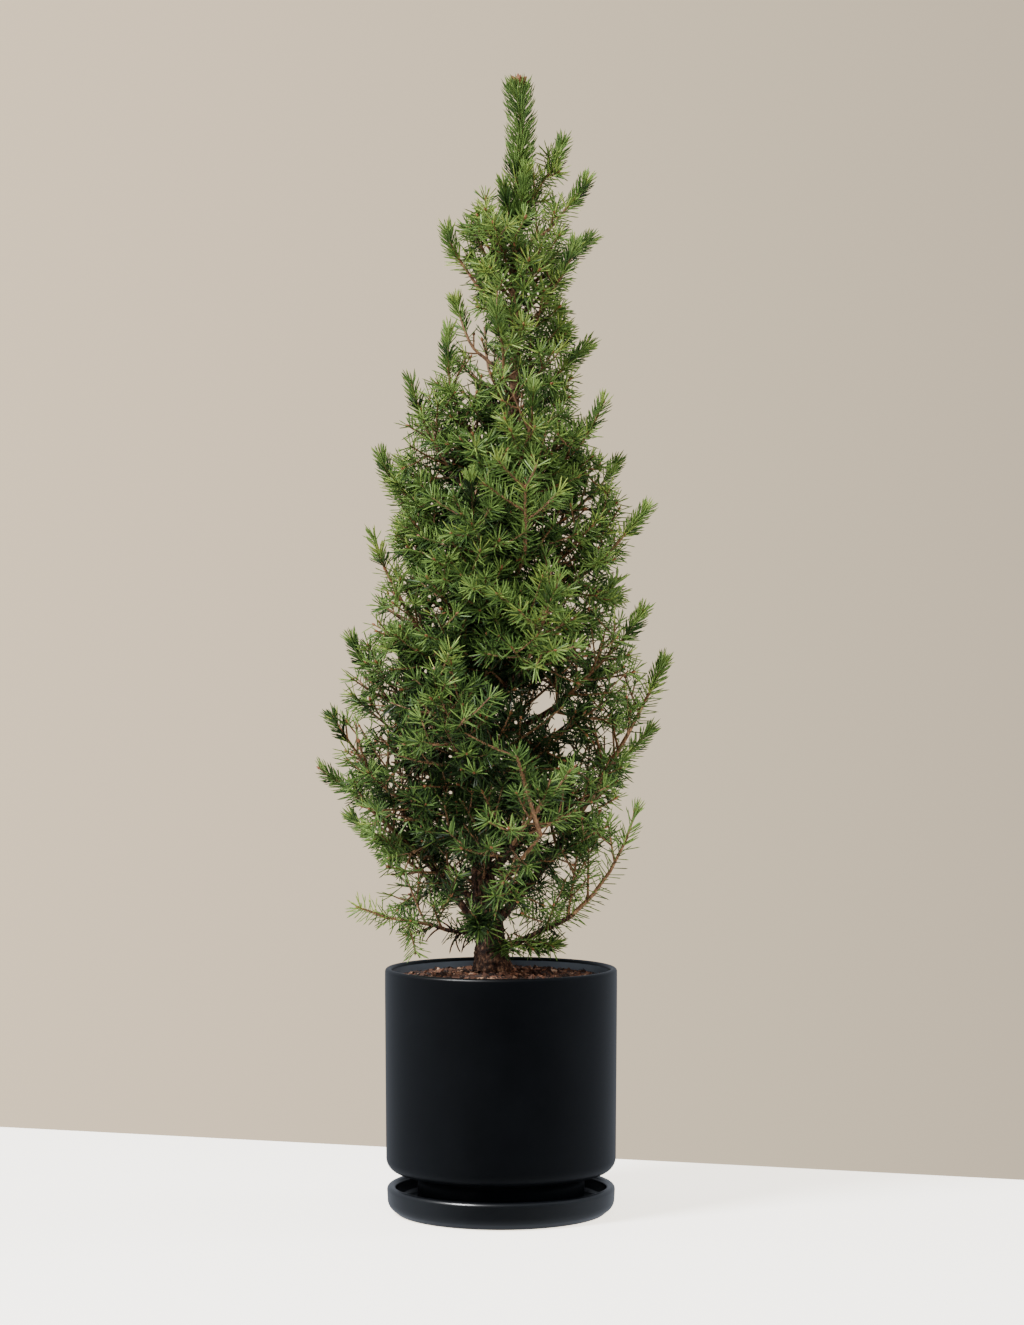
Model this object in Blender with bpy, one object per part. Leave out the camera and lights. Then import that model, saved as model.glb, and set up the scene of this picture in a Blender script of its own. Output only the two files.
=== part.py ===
"""Potted dwarf Alberta spruce: a saucer, a cylinder pot, the potting bark, the trunk, its main boughs
and the masses of needle sprays that the boughs and the upper trunk carry.

Metres, +Z up. The origin is the middle of the saucer's flat underside. +X is the plant's right side,
-Y its front. Azimuths turn from +X towards +Y.
"""

import math
import random

import bmesh
import bpy
import numpy as np
from mathutils import Vector
from mathutils.bvhtree import BVHTree

for leftover in list(bpy.data.objects):
    bpy.data.objects.remove(leftover, do_unlink=True)

# ---- driving dimensions ---------------------------------------------------------------------------

SEAT_GAP = 0.0003

TURN_SEGMENTS = 40

SAUCER_RADIUS = 0.108
SAUCER_FOOT_RADIUS = 0.1015
SAUCER_RIM_HEIGHT = 0.026
SAUCER_FLOOR = 0.009
SAUCER_WALL = 0.007

POT_RADIUS = 0.110
POT_RIM_HEIGHT = 0.231
POT_WALL = 0.0065
POT_WAIST_RADIUS = 0.1088
POT_UNDERSIDE = 0.039
POT_CORNER = 0.013
POT_FOOT_RADIUS = 0.079
POT_FLOOR = 0.048

SOIL_EDGE_HEIGHT = 0.2225
SOIL_CROWN_HEIGHT = 0.230
SOIL_FLAT_RADIUS = 0.024
SOIL_ROUGHNESS = 0.0022
SOIL_SEGMENTS = 20

TRUNK_SIDES = 8
# height, sideways place, depth, radius; the foot flares into the bark and the tip is the leader's bud
TRUNK_STATIONS = (
    (SOIL_CROWN_HEIGHT + SEAT_GAP, -0.0085, 0.0000, 0.0205),
    (0.2390, -0.0088, 0.0000, 0.0165),
    (0.2620, -0.0105, 0.0000, 0.0132),
    (0.3000, -0.0150, 0.0010, 0.0112),
    (0.3470, -0.0200, 0.0020, 0.0097),
    (0.4500, -0.0170, 0.0040, 0.0086),
    (0.5600, -0.0080, 0.0020, 0.0075),
    (0.6600, 0.0020, -0.0020, 0.0062),
    (0.7780, 0.0130, -0.0030, 0.0050),
    (0.8500, 0.0130, 0.0000, 0.0038),
    (0.9200, 0.0110, 0.0010, 0.0029),
    (0.9750, 0.0150, 0.0010, 0.0024),
    (1.0200, 0.0200, 0.0000, 0.0019),
    (1.0690, 0.0160, 0.0000, 0.0013),
)
LEADER_FOOT = 0.972
LEADER_TOP = 1.079
LEADER_CORE = 0.0052
LEADER_REACH = 0.0130
LEADER_CORNERS = 6

# Each limb springs from the trunk and ends at a tip of the crown. Its inner share is a bare bough
# where the share is above 0, and the rest is the stem of a mass of needle sprays.
# name, height it leaves the trunk at, azimuth, tip's distance from the axis, tip's height,
# bow below its chord as a share of its length, bare share
LIMBS = (
    ("low_left_spur", 0.264, 206, 0.151, 0.294, 0.03, 0.40),
    ("low_left", 0.250, 175, 0.178, 0.422, -0.05, 0.45),
    ("left_inner", 0.292, 155, 0.163, 0.373, 0.05, 0.34),
    ("left_1", 0.335, 192, 0.163, 0.472, 0.07, 0.26),
    ("left_2", 0.405, 163, 0.152, 0.546, 0.08, 0.26),
    ("left_3", 0.485, 199, 0.126, 0.642, 0.09, 0.00),
    ("left_4", 0.580, 166, 0.120, 0.722, 0.09, 0.00),
    ("left_5", 0.655, 194, 0.088, 0.789, 0.10, 0.00),
    ("left_6", 0.712, 214, 0.057, 0.836, 0.20, 0.00),
    ("left_7", 0.785, 168, 0.045, 0.868, 0.12, 0.00),
    ("left_8", 0.852, 190, 0.053, 0.934, 0.12, 0.00),
    ("low_right_spur", 0.250, 18, 0.058, 0.252, 0.02, 0.00),
    ("low_right", 0.249, 342, 0.133, 0.386, 0.16, 0.46),
    ("right_1", 0.266, 4, 0.157, 0.525, 0.04, 0.45),
    ("right_2", 0.338, 24, 0.160, 0.458, 0.07, 0.26),
    ("right_3", 0.440, 344, 0.140, 0.572, 0.08, 0.26),
    ("right_4", 0.505, 31, 0.136, 0.606, 0.08, 0.00),
    ("right_5", 0.570, 350, 0.140, 0.668, 0.11, 0.26),
    ("right_6", 0.625, 24, 0.124, 0.716, 0.09, 0.00),
    ("right_7", 0.678, 340, 0.104, 0.768, 0.12, 0.00),
    ("right_8", 0.772, 12, 0.087, 0.826, 0.06, 0.00),
    ("right_9", 0.830, 338, 0.076, 0.916, 0.08, 0.00),
    ("right_10", 0.872, 18, 0.092, 0.928, 0.06, 0.00),
    ("right_11", 0.908, 352, 0.083, 0.979, 0.08, 0.00),
    ("right_12", 0.946, 8, 0.060, 1.018, 0.08, 0.00),
    ("front_low", 0.288, 256, 0.088, 0.272, -0.04, 0.00),
    ("front_1", 0.322, 288, 0.150, 0.418, 0.07, 0.26),
    ("front_2", 0.392, 246, 0.150, 0.512, 0.08, 0.26),
    ("front_3", 0.478, 294, 0.134, 0.602, 0.09, 0.00),
    ("front_4", 0.568, 256, 0.116, 0.692, 0.09, 0.00),
    ("front_5", 0.660, 290, 0.090, 0.776, 0.10, 0.00),
    ("front_6", 0.762, 266, 0.060, 0.856, 0.10, 0.00),
    ("back_low", 0.262, 98, 0.137, 0.330, 0.05, 0.36),
    ("back_1", 0.312, 66, 0.156, 0.424, 0.07, 0.26),
    ("back_2", 0.382, 114, 0.152, 0.514, 0.08, 0.26),
    ("back_3", 0.466, 82, 0.136, 0.594, 0.09, 0.00),
    ("back_4", 0.556, 118, 0.116, 0.684, 0.09, 0.00),
    ("back_5", 0.652, 72, 0.092, 0.772, 0.10, 0.00),
    ("back_6", 0.748, 106, 0.062, 0.850, 0.10, 0.00),
)

# the crown's outline: height, reach on the left, reach on the right; side sprays stay inside it
CROWN_OUTLINE = (
    (0.230, 0.080, 0.058),
    (0.285, 0.128, 0.085),
    (0.340, 0.132, 0.122),
    (0.400, 0.158, 0.128),
    (0.450, 0.162, 0.145),
    (0.500, 0.157, 0.150),
    (0.545, 0.143, 0.137),
    (0.600, 0.112, 0.128),
    (0.660, 0.117, 0.134),
    (0.700, 0.116, 0.116),
    (0.740, 0.108, 0.098),
    (0.780, 0.082, 0.086),
    (0.820, 0.058, 0.080),
    (0.860, 0.043, 0.072),
    (0.900, 0.047, 0.076),
    (0.930, 0.051, 0.084),
    (0.970, 0.022, 0.079),
    (1.010, 0.004, 0.062),
    (1.035, 0.000, 0.050),
)
OUTLINE_SLACK = 0.004

LIMB_ROOT_RADIUS = 0.0009
LIMB_RADIUS_PER_LENGTH = 0.0125
LIMB_TIP_SHARE = 0.34
BOUGH_SIDES = 5
BOUGH_RINGS = 5
STEM_SIDES = 3
STEM_RINGS = 5

# A spray is a shoot with its needles, drawn larger than life. Its needles' reach swells from
# ROOT_SWELL at the stem over the first SWELL_SHARE of it, and narrows to TIP_SWELL over the last.
SPRAY_SEED = 41
SPRAY_CORNERS = 4
SPRAY_LENGTH = 0.080
SPRAY_REACH = 0.0205
SPRAY_CORE = 0.0046
SPRAY_ROOT = 0.0017
SPRAY_STEP = 0.0135
NEEDLE_LEAN = 0.62
ROOT_SWELL = 0.55
SWELL_SHARE = 0.28
TIP_SWELL = 0.30
TIP_SHARE = 0.41
SPRAY_STRETCH = (0.85, 1.10)
FIRST_SPRAY_SIZE = 1.08
LAST_SPRAY_SIZE = 0.78
SPRAYED_SHARE = 0.90
END_SPRAY_SHARE = 0.80
END_CLEAR = 0.25
END_SPRAY_TURN = 0.4
STEM_STOPS_SHORT = 0.45
FIRST_SPRAY_OFF_TRUNK = 0.004
SPRAY_SPACING = 0.0300
SPRAY_LEAN = (56.0, 38.0)
GOLDEN_ANGLE = 137.508
TURN_RETRIES = 12
SIZE_RETRIES = (1.0, 0.82, 0.66, 0.5)
SPACE_MARGIN = 0.0012
CURVE_STEPS = 18
SLIVER = 0.00003


UP = Vector((0, 0, 1))
BACK = Vector((0, 1, 0))

# ---- materials ------------------------------------------------------------------------------------


def finish(name, colour, roughness):
    material = bpy.data.materials.new(name)
    material.use_nodes = True
    shader = material.node_tree.nodes["Principled BSDF"]
    shader.inputs["Base Color"].default_value = (*colour, 1.0)
    shader.inputs["Roughness"].default_value = roughness
    shader.inputs["Metallic"].default_value = 0.0
    material.diffuse_color = (*colour, 1.0)
    return material


GLAZE = finish("matt_black_ceramic", (0.018, 0.021, 0.028), 0.55)
POTTING_BARK = finish("potting_bark", (0.160, 0.070, 0.040), 0.95)
TRUNK_BARK = finish("trunk_bark", (0.075, 0.045, 0.032), 0.90)
NEEDLES = finish("needles", (0.055, 0.125, 0.022), 0.60)


# ---- mesh helpers ---------------------------------------------------------------------------------


def add_object(name, vertices, faces, material, smooth=False):
    mesh = bpy.data.meshes.new(name)
    mesh.from_pydata([tuple(v) for v in vertices], [], faces)
    mesh.materials.append(material)
    if smooth:
        mesh.shade_smooth()
        mesh.set_sharp_from_angle(angle=math.radians(40))
    obj = bpy.data.objects.new(name, mesh)
    bpy.context.scene.collection.objects.link(obj)
    return obj


def skin(rings):
    """Vertices and faces of a closed skin over rings of points; a ring of one point is a pole."""
    vertices = [point for ring in rings for point in ring]
    starts = np.cumsum([0] + [len(ring) for ring in rings])
    faces = []
    if len(rings[0]) > 1:
        faces.append(list(range(len(rings[0])))[::-1])
    for k in range(len(rings) - 1):
        low, high = starts[k], starts[k + 1]
        sides = max(len(rings[k]), len(rings[k + 1]))
        for j in range(sides):
            turn = (j + 1) % sides
            if len(rings[k]) == 1:
                faces.append([low, high + turn, high + j])
            elif len(rings[k + 1]) == 1:
                faces.append([low + j, low + turn, high])
            else:
                faces.append([low + j, low + turn, high + turn, high + j])
    if len(rings[-1]) > 1:
        faces.append([starts[-2] + j for j in range(len(rings[-1]))])
    return vertices, [[int(i) for i in face] for face in faces]


def turned(name, outline, segments, material):
    """A turned solid; its outline runs from the axis below, round the outside, to the axis above."""
    rings = []
    for radius, height in outline:
        if radius == 0:
            rings.append([Vector((0, 0, height))])
            continue
        angles = [2 * math.pi * j / segments for j in range(segments)]
        rings.append([Vector((radius * math.cos(a), radius * math.sin(a), height)) for a in angles])
    return add_object(name, *skin(rings), material, smooth=True)


def arc(centre, radius, start, stop, steps):
    """Points of a round corner in an outline, angles in degrees from the outward direction."""
    angles = [math.radians(start + (stop - start) * k / steps) for k in range(steps + 1)]
    return [(centre[0] + radius * math.cos(a), centre[1] + radius * math.sin(a)) for a in angles]


def frame_across(direction, reference=UP):
    """Two unit vectors square to a direction and to each other; a tube keeps one reference throughout."""
    side = direction.cross(reference)
    if side.length < 1e-6:
        side = Vector((1, 0, 0))
    side.normalize()
    return side, side.cross(direction).normalized()


def ring_round(centre, direction, radii, turn=0.0, shifts=None, reference=UP):
    """One point for each radius, evenly round a direction, each shifted along it by its own amount."""
    side, up = frame_across(direction, reference)
    count = len(radii)
    points = []
    for j, radius in enumerate(radii):
        angle = turn + 2 * math.pi * j / count
        offset = (side * math.cos(angle) - up * math.sin(angle)) * radius
        points.append(centre + offset + direction * (shifts[j] if shifts else 0.0))
    return points


# ---- pot, saucer and potting bark -----------------------------------------------------------------


def make_saucer():
    lip = SAUCER_WALL / 2
    outline = [(0, 0), (SAUCER_FOOT_RADIUS - 0.003, 0)]
    outline += arc((SAUCER_FOOT_RADIUS - 0.003, 0.004), 0.004, -50, -10, 2)
    outline += [(SAUCER_RADIUS - 0.0005, 0.013)]
    outline += arc((SAUCER_RADIUS - lip, SAUCER_RIM_HEIGHT - lip), lip, 0, 180, 4)
    outline += [(SAUCER_RADIUS - SAUCER_WALL - 0.003, SAUCER_FLOOR + 0.003)]
    outline += [(SAUCER_RADIUS - SAUCER_WALL - 0.006, SAUCER_FLOOR), (0, SAUCER_FLOOR)]
    return turned("saucer", outline, TURN_SEGMENTS, GLAZE)


def make_pot():
    lip = POT_WALL / 2
    corner = (POT_WAIST_RADIUS - POT_CORNER, POT_UNDERSIDE + POT_CORNER)
    foot = SAUCER_FLOOR + SEAT_GAP
    outline = [(0, foot), (POT_FOOT_RADIUS, foot), (POT_FOOT_RADIUS, POT_UNDERSIDE)]
    outline += arc(corner, POT_CORNER, -90, 0, 4)
    outline += [(POT_RADIUS, POT_RIM_HEIGHT - 0.02)]
    outline += arc((POT_RADIUS - lip, POT_RIM_HEIGHT - lip), lip, 0, 180, 4)
    outline += [(POT_RADIUS - POT_WALL, POT_FLOOR), (0, POT_FLOOR)]
    return turned("pot", outline, TURN_SEGMENTS, GLAZE)


def make_soil():
    rng = random.Random(7)
    radius = POT_RADIUS - POT_WALL - SEAT_GAP
    rings = [[Vector((0, 0, POT_FLOOR + SEAT_GAP))]]
    for height in (POT_FLOOR + SEAT_GAP, SOIL_EDGE_HEIGHT - SOIL_ROUGHNESS):
        rings.append(ring_round(Vector((0, 0, height)), UP, [radius] * SOIL_SEGMENTS))
    for share in (0.78, 0.58, 0.40):
        crown = SOIL_EDGE_HEIGHT + (SOIL_CROWN_HEIGHT - SOIL_EDGE_HEIGHT) * math.cos(share * math.pi / 2)
        bumps = [rng.uniform(-SOIL_ROUGHNESS, SOIL_ROUGHNESS) for _ in range(SOIL_SEGMENTS)]
        level = Vector((0, 0, min(crown, SOIL_CROWN_HEIGHT - SOIL_ROUGHNESS)))
        rings.append(ring_round(level, UP, [radius * share] * SOIL_SEGMENTS, shifts=bumps))
    foot = Vector((TRUNK_STATIONS[0][1], 0, SOIL_CROWN_HEIGHT))
    rings.append(ring_round(foot, UP, [SOIL_FLAT_RADIUS] * SOIL_SEGMENTS))
    rings.append([foot])
    return add_object("soil", *skin(rings), POTTING_BARK)


# ---- trunk and limbs ------------------------------------------------------------------------------


def trunk_at(height):
    """Axis point and radius of the trunk at a height."""
    stations = np.array(TRUNK_STATIONS)
    x, y, radius = (float(np.interp(height, stations[:, 0], stations[:, k])) for k in (1, 2, 3))
    return Vector((x, y, height)), radius


def trunk_skin(extra):
    rings = []
    for height, _, _, radius in TRUNK_STATIONS:
        centre, _ = trunk_at(height)
        rings.append(ring_round(centre, UP, [radius + extra] * TRUNK_SIDES))
    if extra:
        rings[0] = [point - Vector((0, 0, extra)) for point in rings[0]]
        rings[-1] = [point + Vector((0, 0, extra)) for point in rings[-1]]
    return skin(rings)


class Limb:
    """One quadratic curve from the trunk's axis to a tip of the crown."""

    def __init__(self, name, leave, azimuth, reach, tip_height, bow, bare):
        self.name = name
        self.bare = bare
        angle = math.radians(azimuth)
        outward = Vector((math.cos(angle), math.sin(angle), 0))
        self.start = trunk_at(leave)[0]
        self.end = outward * reach + Vector((0, 0, tip_height))
        chord = self.end - self.start
        self.length = chord.length
        below = chord.cross(chord.cross(Vector((0, 0, 1)))).normalized()
        self.middle = (self.start + self.end) / 2 + below * (2 * bow * self.length)
        self.root_radius = LIMB_ROOT_RADIUS + LIMB_RADIUS_PER_LENGTH * self.length

    def point(self, share):
        rest = 1 - share
        return self.start * rest**2 + self.middle * (2 * rest * share) + self.end * share**2

    def direction(self, share):
        pull = (self.middle - self.start) * (1 - share) + (self.end - self.middle) * share
        return pull.normalized()

    def radius(self, share):
        return self.root_radius * (1 - (1 - LIMB_TIP_SHARE) * share)

    def tube(self, first, last, sides, rings):
        shares = [first + (last - first) * k / (rings - 1) for k in range(rings)]
        return skin([ring_round(self.point(s), self.direction(s), [self.radius(s)] * sides) for s in shares])


def segments_of(points):
    line = np.array([tuple(p) for p in points])
    return line[:-1], line[1:]


def distances(points, starts, ends):
    """Distance from each point to the nearest of a set of segments."""
    points = np.array([tuple(p) for p in points])[:, None, :]
    along = (ends - starts)[None]
    share = ((points - starts[None]) * along).sum(-1) / (along**2).sum(-1)
    nearest = starts[None] + np.clip(share, 0, 1)[..., None] * along
    return np.linalg.norm(points - nearest, axis=-1).min(-1)


# ---- masses of needle sprays ----------------------------------------------------------------------


def spray_skin(centres, reach, core, root, corners, turn, reference=UP):
    """A slim core along its centres that ends in a point; every other corner stands out as a needle."""
    last = len(centres) - 1
    along = [(centres[min(k + 1, last)] - centres[max(k - 1, 0)]).normalized() for k in range(last + 1)]
    rings = [ring_round(centres[0], along[0], [root] * corners, turn, None, reference)]
    for k in range(1, last):
        share = k / last
        narrow = min(1.0, TIP_SWELL + (1 - TIP_SWELL) * (1 - share) / TIP_SHARE)
        swell = min(1.0, ROOT_SWELL + (1 - ROOT_SWELL) * share / SWELL_SHARE) * narrow
        out = [(j + k) % 2 == 0 for j in range(corners)]
        radii = [reach * swell if o else core * narrow for o in out]
        shifts = [reach * swell * NEEDLE_LEAN if o else 0.0 for o in out]
        rings.append(ring_round(centres[k], along[k], radii, turn, shifts, reference))
    rings.append([centres[last]])
    vertices, faces = skin(rings)
    split = []
    for face in faces:
        if len(face) != 4 or face == faces[0]:
            split.append(face)
            continue
        ring, corner = divmod(face[0], corners)
        if (corner + ring) % 2 == 0:
            split += [[face[0], face[1], face[3]], [face[1], face[2], face[3]]]
        else:
            split += [[face[0], face[1], face[2]], [face[0], face[2], face[3]]]
    return vertices, split


def line_of(base, tip):
    """Even centres for a spray's rings from its base to its tip."""
    count = max(4, round((tip - base).length / SPRAY_STEP))
    return [base.lerp(tip, k / count) for k in range(count + 1)]


def inside_crown(points):
    """Whether all the points stay within the crown's outline at their own height and azimuth."""
    stations = np.array(CROWN_OUTLINE)
    points = np.array([tuple(p) for p in points])
    reach = np.hypot(points[:, 0], points[:, 1])
    left, right = (np.interp(points[:, 2], stations[:, 0], stations[:, k]) for k in (1, 2))
    rightness = (1 + points[:, 0] / np.maximum(reach, 1e-6)) / 2
    return bool((reach <= left + (right - left) * rightness + OUTLINE_SLACK).all())


def tree_of(vertices, faces):
    return BVHTree.FromPolygons([tuple(v) for v in vertices], faces)


def fuse(name, skins, cutter):
    """Join a mass's stem and sprays into one solid that is clear of the trunk.

    A mass that doesn't close up loses its last spray and is joined again.
    """
    stem = add_object(name, *skins[0], NEEDLES)
    group = bpy.data.collections.new(name + "_sprays")
    bpy.context.scene.collection.children.link(group)
    for vertices, faces in skins[1:]:
        spray = add_object(name + "_spray", vertices, faces, NEEDLES)
        bpy.context.scene.collection.objects.unlink(spray)
        group.objects.link(spray)
    union = stem.modifiers.new("union", "BOOLEAN")
    union.operation = "UNION"
    union.operand_type = "COLLECTION"
    union.collection = group
    cut = stem.modifiers.new("clear_of_trunk", "BOOLEAN")
    cut.operation = "DIFFERENCE"
    cut.object = cutter
    graph = bpy.context.evaluated_depsgraph_get()
    shape = bpy.data.meshes.new_from_object(stem.evaluated_get(graph))
    for spray in list(group.objects):
        bpy.data.objects.remove(spray, do_unlink=True)
    bpy.data.collections.remove(group)
    if not tidy(shape) and len(skins) > 1:
        bpy.data.objects.remove(stem, do_unlink=True)
        return fuse(name, skins[:-1], cutter)
    stem.modifiers.clear()
    stem.data = shape
    return stem


def islands_of(bm):
    """The mesh's separate shells, the largest first."""
    islands = []
    left = set(bm.faces)
    while left:
        front = [left.pop()]
        island = list(front)
        while front:
            near = {other for edge in front.pop().edges for other in edge.link_faces} & left
            left -= near
            front += near
            island += near
        islands.append(island)
    return sorted(islands, key=len, reverse=True)


def tidy(mesh):
    """Weld slivers, keep the largest shell, and say whether it is closed."""
    bm = bmesh.new()
    bm.from_mesh(mesh)
    bmesh.ops.triangulate(bm, faces=bm.faces)
    bmesh.ops.remove_doubles(bm, verts=bm.verts, dist=SLIVER)
    bmesh.ops.dissolve_degenerate(bm, dist=SLIVER, edges=bm.edges)
    bmesh.ops.triangulate(bm, faces=bm.faces)
    for scrap in islands_of(bm)[1:]:
        bmesh.ops.delete(bm, geom=scrap, context="FACES")
    closed = all(len(edge.link_faces) == 2 for edge in bm.edges)
    bm.to_mesh(mesh)
    bm.free()
    return closed


def stem_start(limb):
    """Share of the limb at which its mass begins: a seat gap past the bough's tip, or in the trunk."""
    return limb.bare + SEAT_GAP / limb.length if limb.bare else 0.0


def sprays_on(limb, rng, own, others, limb_trees):
    """Sprays that branch off one stem in turn, each kept only where it stays in the stem's own space."""

    def fits(vertices, faces, at_tip=False):
        free = vertices[SPRAY_CORNERS:]
        if not at_tip and not inside_crown(free):
            return False
        room = distances(free, *others) - distances(free, *own)
        if room.min() < 2 * SPACE_MARGIN:
            return False
        solid = tree_of(vertices, faces)
        return not any(solid.overlap(tree) for tree in limb_trees)

    first = stem_start(limb)
    if not limb.bare:
        first = (trunk_at(limb.start.z)[1] + FIRST_SPRAY_OFF_TRUNK) / limb.length
    found = []
    end_start = 1 - END_SPRAY_SHARE * SPRAY_LENGTH / limb.length
    end_base = limb.point(max(first + END_CLEAR * (1 - first), end_start))
    for size in SIZE_RETRIES:
        centres = line_of(end_base, limb.end)
        reach = SPRAY_REACH * size
        solid = spray_skin(centres, reach, SPRAY_CORE, SPRAY_ROOT, SPRAY_CORNERS, END_SPRAY_TURN)
        if fits(*solid, at_tip=True):
            found.append(solid)
            break
    count = max(2, round(limb.length * (1 - first) / SPRAY_SPACING))
    roll = rng.uniform(0, 360)
    for k in range(count):
        place = (k + 0.6) / (count + 0.6)
        share = first + (1 - first) * SPRAYED_SHARE * place
        base, ahead = limb.point(share), limb.direction(share)
        side, up = frame_across(ahead)
        lean = math.radians(SPRAY_LEAN[0] + (SPRAY_LEAN[1] - SPRAY_LEAN[0]) * place)
        roll += GOLDEN_ANGLE
        stretch = rng.uniform(*SPRAY_STRETCH)
        stretch *= FIRST_SPRAY_SIZE + (LAST_SPRAY_SIZE - FIRST_SPRAY_SIZE) * place
        tries = [(size, t) for size in SIZE_RETRIES for t in range(TURN_RETRIES)]
        for size, t in tries:
            angle = math.radians(roll + t * 360 / TURN_RETRIES)
            out = side * math.cos(angle) + up * math.sin(angle)
            heading = ahead * math.cos(lean) + out * math.sin(lean)
            tip = base + heading * (SPRAY_LENGTH * stretch * size)
            reach = SPRAY_REACH * math.sqrt(size)
            solid = spray_skin(line_of(base, tip), reach, SPRAY_CORE, SPRAY_ROOT, SPRAY_CORNERS, angle)
            if fits(*solid):
                found.append(solid)
                break
    return found


def make_leader(cutter):
    steps = round((LEADER_TOP - LEADER_FOOT) / (SPRAY_STEP * 1.1))
    heights = [LEADER_FOOT + (LEADER_TOP - LEADER_FOOT) * k / steps for k in range(steps + 1)]
    centres = [Vector((*trunk_at(h)[0].xy, h)) for h in heights]
    sleeve = spray_skin(centres, LEADER_REACH, LEADER_CORE, LEADER_CORE, LEADER_CORNERS, 0.0, BACK)
    return fuse("leader_needles", [sleeve], cutter)


def main():
    limbs = [Limb(*row) for row in LIMBS]
    solids = [make_saucer(), make_pot(), make_soil()]
    solids.append(add_object("trunk", *trunk_skin(0.0), TRUNK_BARK, smooth=True))
    cutter = add_object("trunk_clearance", *trunk_skin(SEAT_GAP), TRUNK_BARK)
    cutter.hide_render = True
    cutter.display_type = "WIRE"

    for limb in limbs:
        if limb.bare:
            tube = limb.tube(0, limb.bare, BOUGH_SIDES, BOUGH_RINGS)
            bough = add_object(limb.name + "_bough", *tube, TRUNK_BARK)
            seat = bough.modifiers.new("seat_on_trunk", "BOOLEAN")
            seat.operation = "DIFFERENCE"
            seat.object = cutter
            solids.append(bough)
    solids.append(make_leader(cutter))
    limb_trees = []
    for solid in solids:
        faces = [list(face.vertices) for face in solid.data.polygons]
        limb_trees.append(tree_of([v.co for v in solid.data.vertices], faces))

    steps = range(CURVE_STEPS + 1)
    lines = [segments_of([limb.point(k / CURVE_STEPS) for k in steps]) for limb in limbs]
    leader_heights = np.linspace(LEADER_FOOT, LEADER_TOP, CURVE_STEPS)
    leader_line = segments_of([(*trunk_at(h)[0].xy, h) for h in leader_heights])
    rng = random.Random(SPRAY_SEED)
    for number, limb in enumerate(limbs):
        rest = [line for k, line in enumerate(lines) if k != number] + [leader_line]
        others = tuple(np.concatenate([line[end] for line in rest]) for end in (0, 1))
        sprays = sprays_on(limb, rng, lines[number], others, limb_trees)
        stem_end = 1 - STEM_STOPS_SHORT * SPRAY_LENGTH / limb.length
        stem = limb.tube(stem_start(limb), stem_end, STEM_SIDES, STEM_RINGS)
        fuse(limb.name + "_needles", [stem] + sprays, cutter)


main()
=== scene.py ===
"""The looks of the potted dwarf Alberta spruce: bark, twigs, needles, buds, potting bark and glaze.

Metres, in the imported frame, apart from the tables that say millimetres. The limbs repeat the source's
table, and carry finer shoots.
"""

import math
import random

import bpy
import numpy as np
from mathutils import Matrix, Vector, noise


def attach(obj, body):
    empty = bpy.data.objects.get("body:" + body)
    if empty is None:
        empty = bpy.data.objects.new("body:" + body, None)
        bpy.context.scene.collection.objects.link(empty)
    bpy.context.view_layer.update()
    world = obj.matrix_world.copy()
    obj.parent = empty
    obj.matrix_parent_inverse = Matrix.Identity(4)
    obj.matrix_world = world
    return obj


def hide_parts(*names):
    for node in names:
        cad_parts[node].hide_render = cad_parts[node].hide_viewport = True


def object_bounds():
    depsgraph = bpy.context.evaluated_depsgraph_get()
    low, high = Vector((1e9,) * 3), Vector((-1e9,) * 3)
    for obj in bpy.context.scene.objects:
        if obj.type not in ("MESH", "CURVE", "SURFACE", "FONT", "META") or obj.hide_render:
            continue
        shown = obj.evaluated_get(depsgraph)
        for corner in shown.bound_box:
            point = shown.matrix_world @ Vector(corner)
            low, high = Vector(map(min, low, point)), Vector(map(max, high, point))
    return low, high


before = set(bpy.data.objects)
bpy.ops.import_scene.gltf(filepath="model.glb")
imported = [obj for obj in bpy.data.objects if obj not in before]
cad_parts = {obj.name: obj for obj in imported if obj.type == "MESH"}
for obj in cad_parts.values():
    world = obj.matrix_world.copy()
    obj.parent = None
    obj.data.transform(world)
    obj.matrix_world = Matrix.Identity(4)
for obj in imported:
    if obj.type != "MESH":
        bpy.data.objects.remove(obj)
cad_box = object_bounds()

# ---- named sizes ----

SAUCER_RADIUS = 0.108
SAUCER_FOOT_RADIUS = 0.1015
SAUCER_RIM_HEIGHT = 0.026
SAUCER_FLOOR = 0.009

POT_RADIUS = 0.11
POT_RIM_HEIGHT = 0.231
POT_WALL = 0.0065
POT_WAIST_RADIUS = 0.1088
POT_UNDERSIDE = 0.039
POT_CORNER = 0.013
POT_FOOT_RADIUS = 0.079
POT_FLOOR = 0.048

SOIL_EDGE_HEIGHT = 0.2225
SOIL_CROWN_HEIGHT = 0.23

# height, sideways place, depth, radius
TRUNK_STATIONS = (
    (0.2303, -0.0085, 0.0, 0.0178),
    (0.239, -0.0088, 0.0, 0.0156),
    (0.262, -0.0105, 0.0, 0.0132),
    (0.3, -0.015, 0.001, 0.0112),
    (0.347, -0.02, 0.002, 0.0097),
    (0.45, -0.017, 0.004, 0.0086),
    (0.56, -0.008, 0.002, 0.0075),
    (0.66, 0.002, -0.002, 0.0062),
    (0.778, 0.013, -0.003, 0.005),
    (0.85, 0.013, 0.0, 0.0038),
    (0.92, 0.011, 0.001, 0.0029),
    (0.975, 0.015, 0.001, 0.0024),
    (1.02, 0.02, 0.0, 0.0019),
    (1.069, 0.016, 0.0, 0.0013),
)

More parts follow.
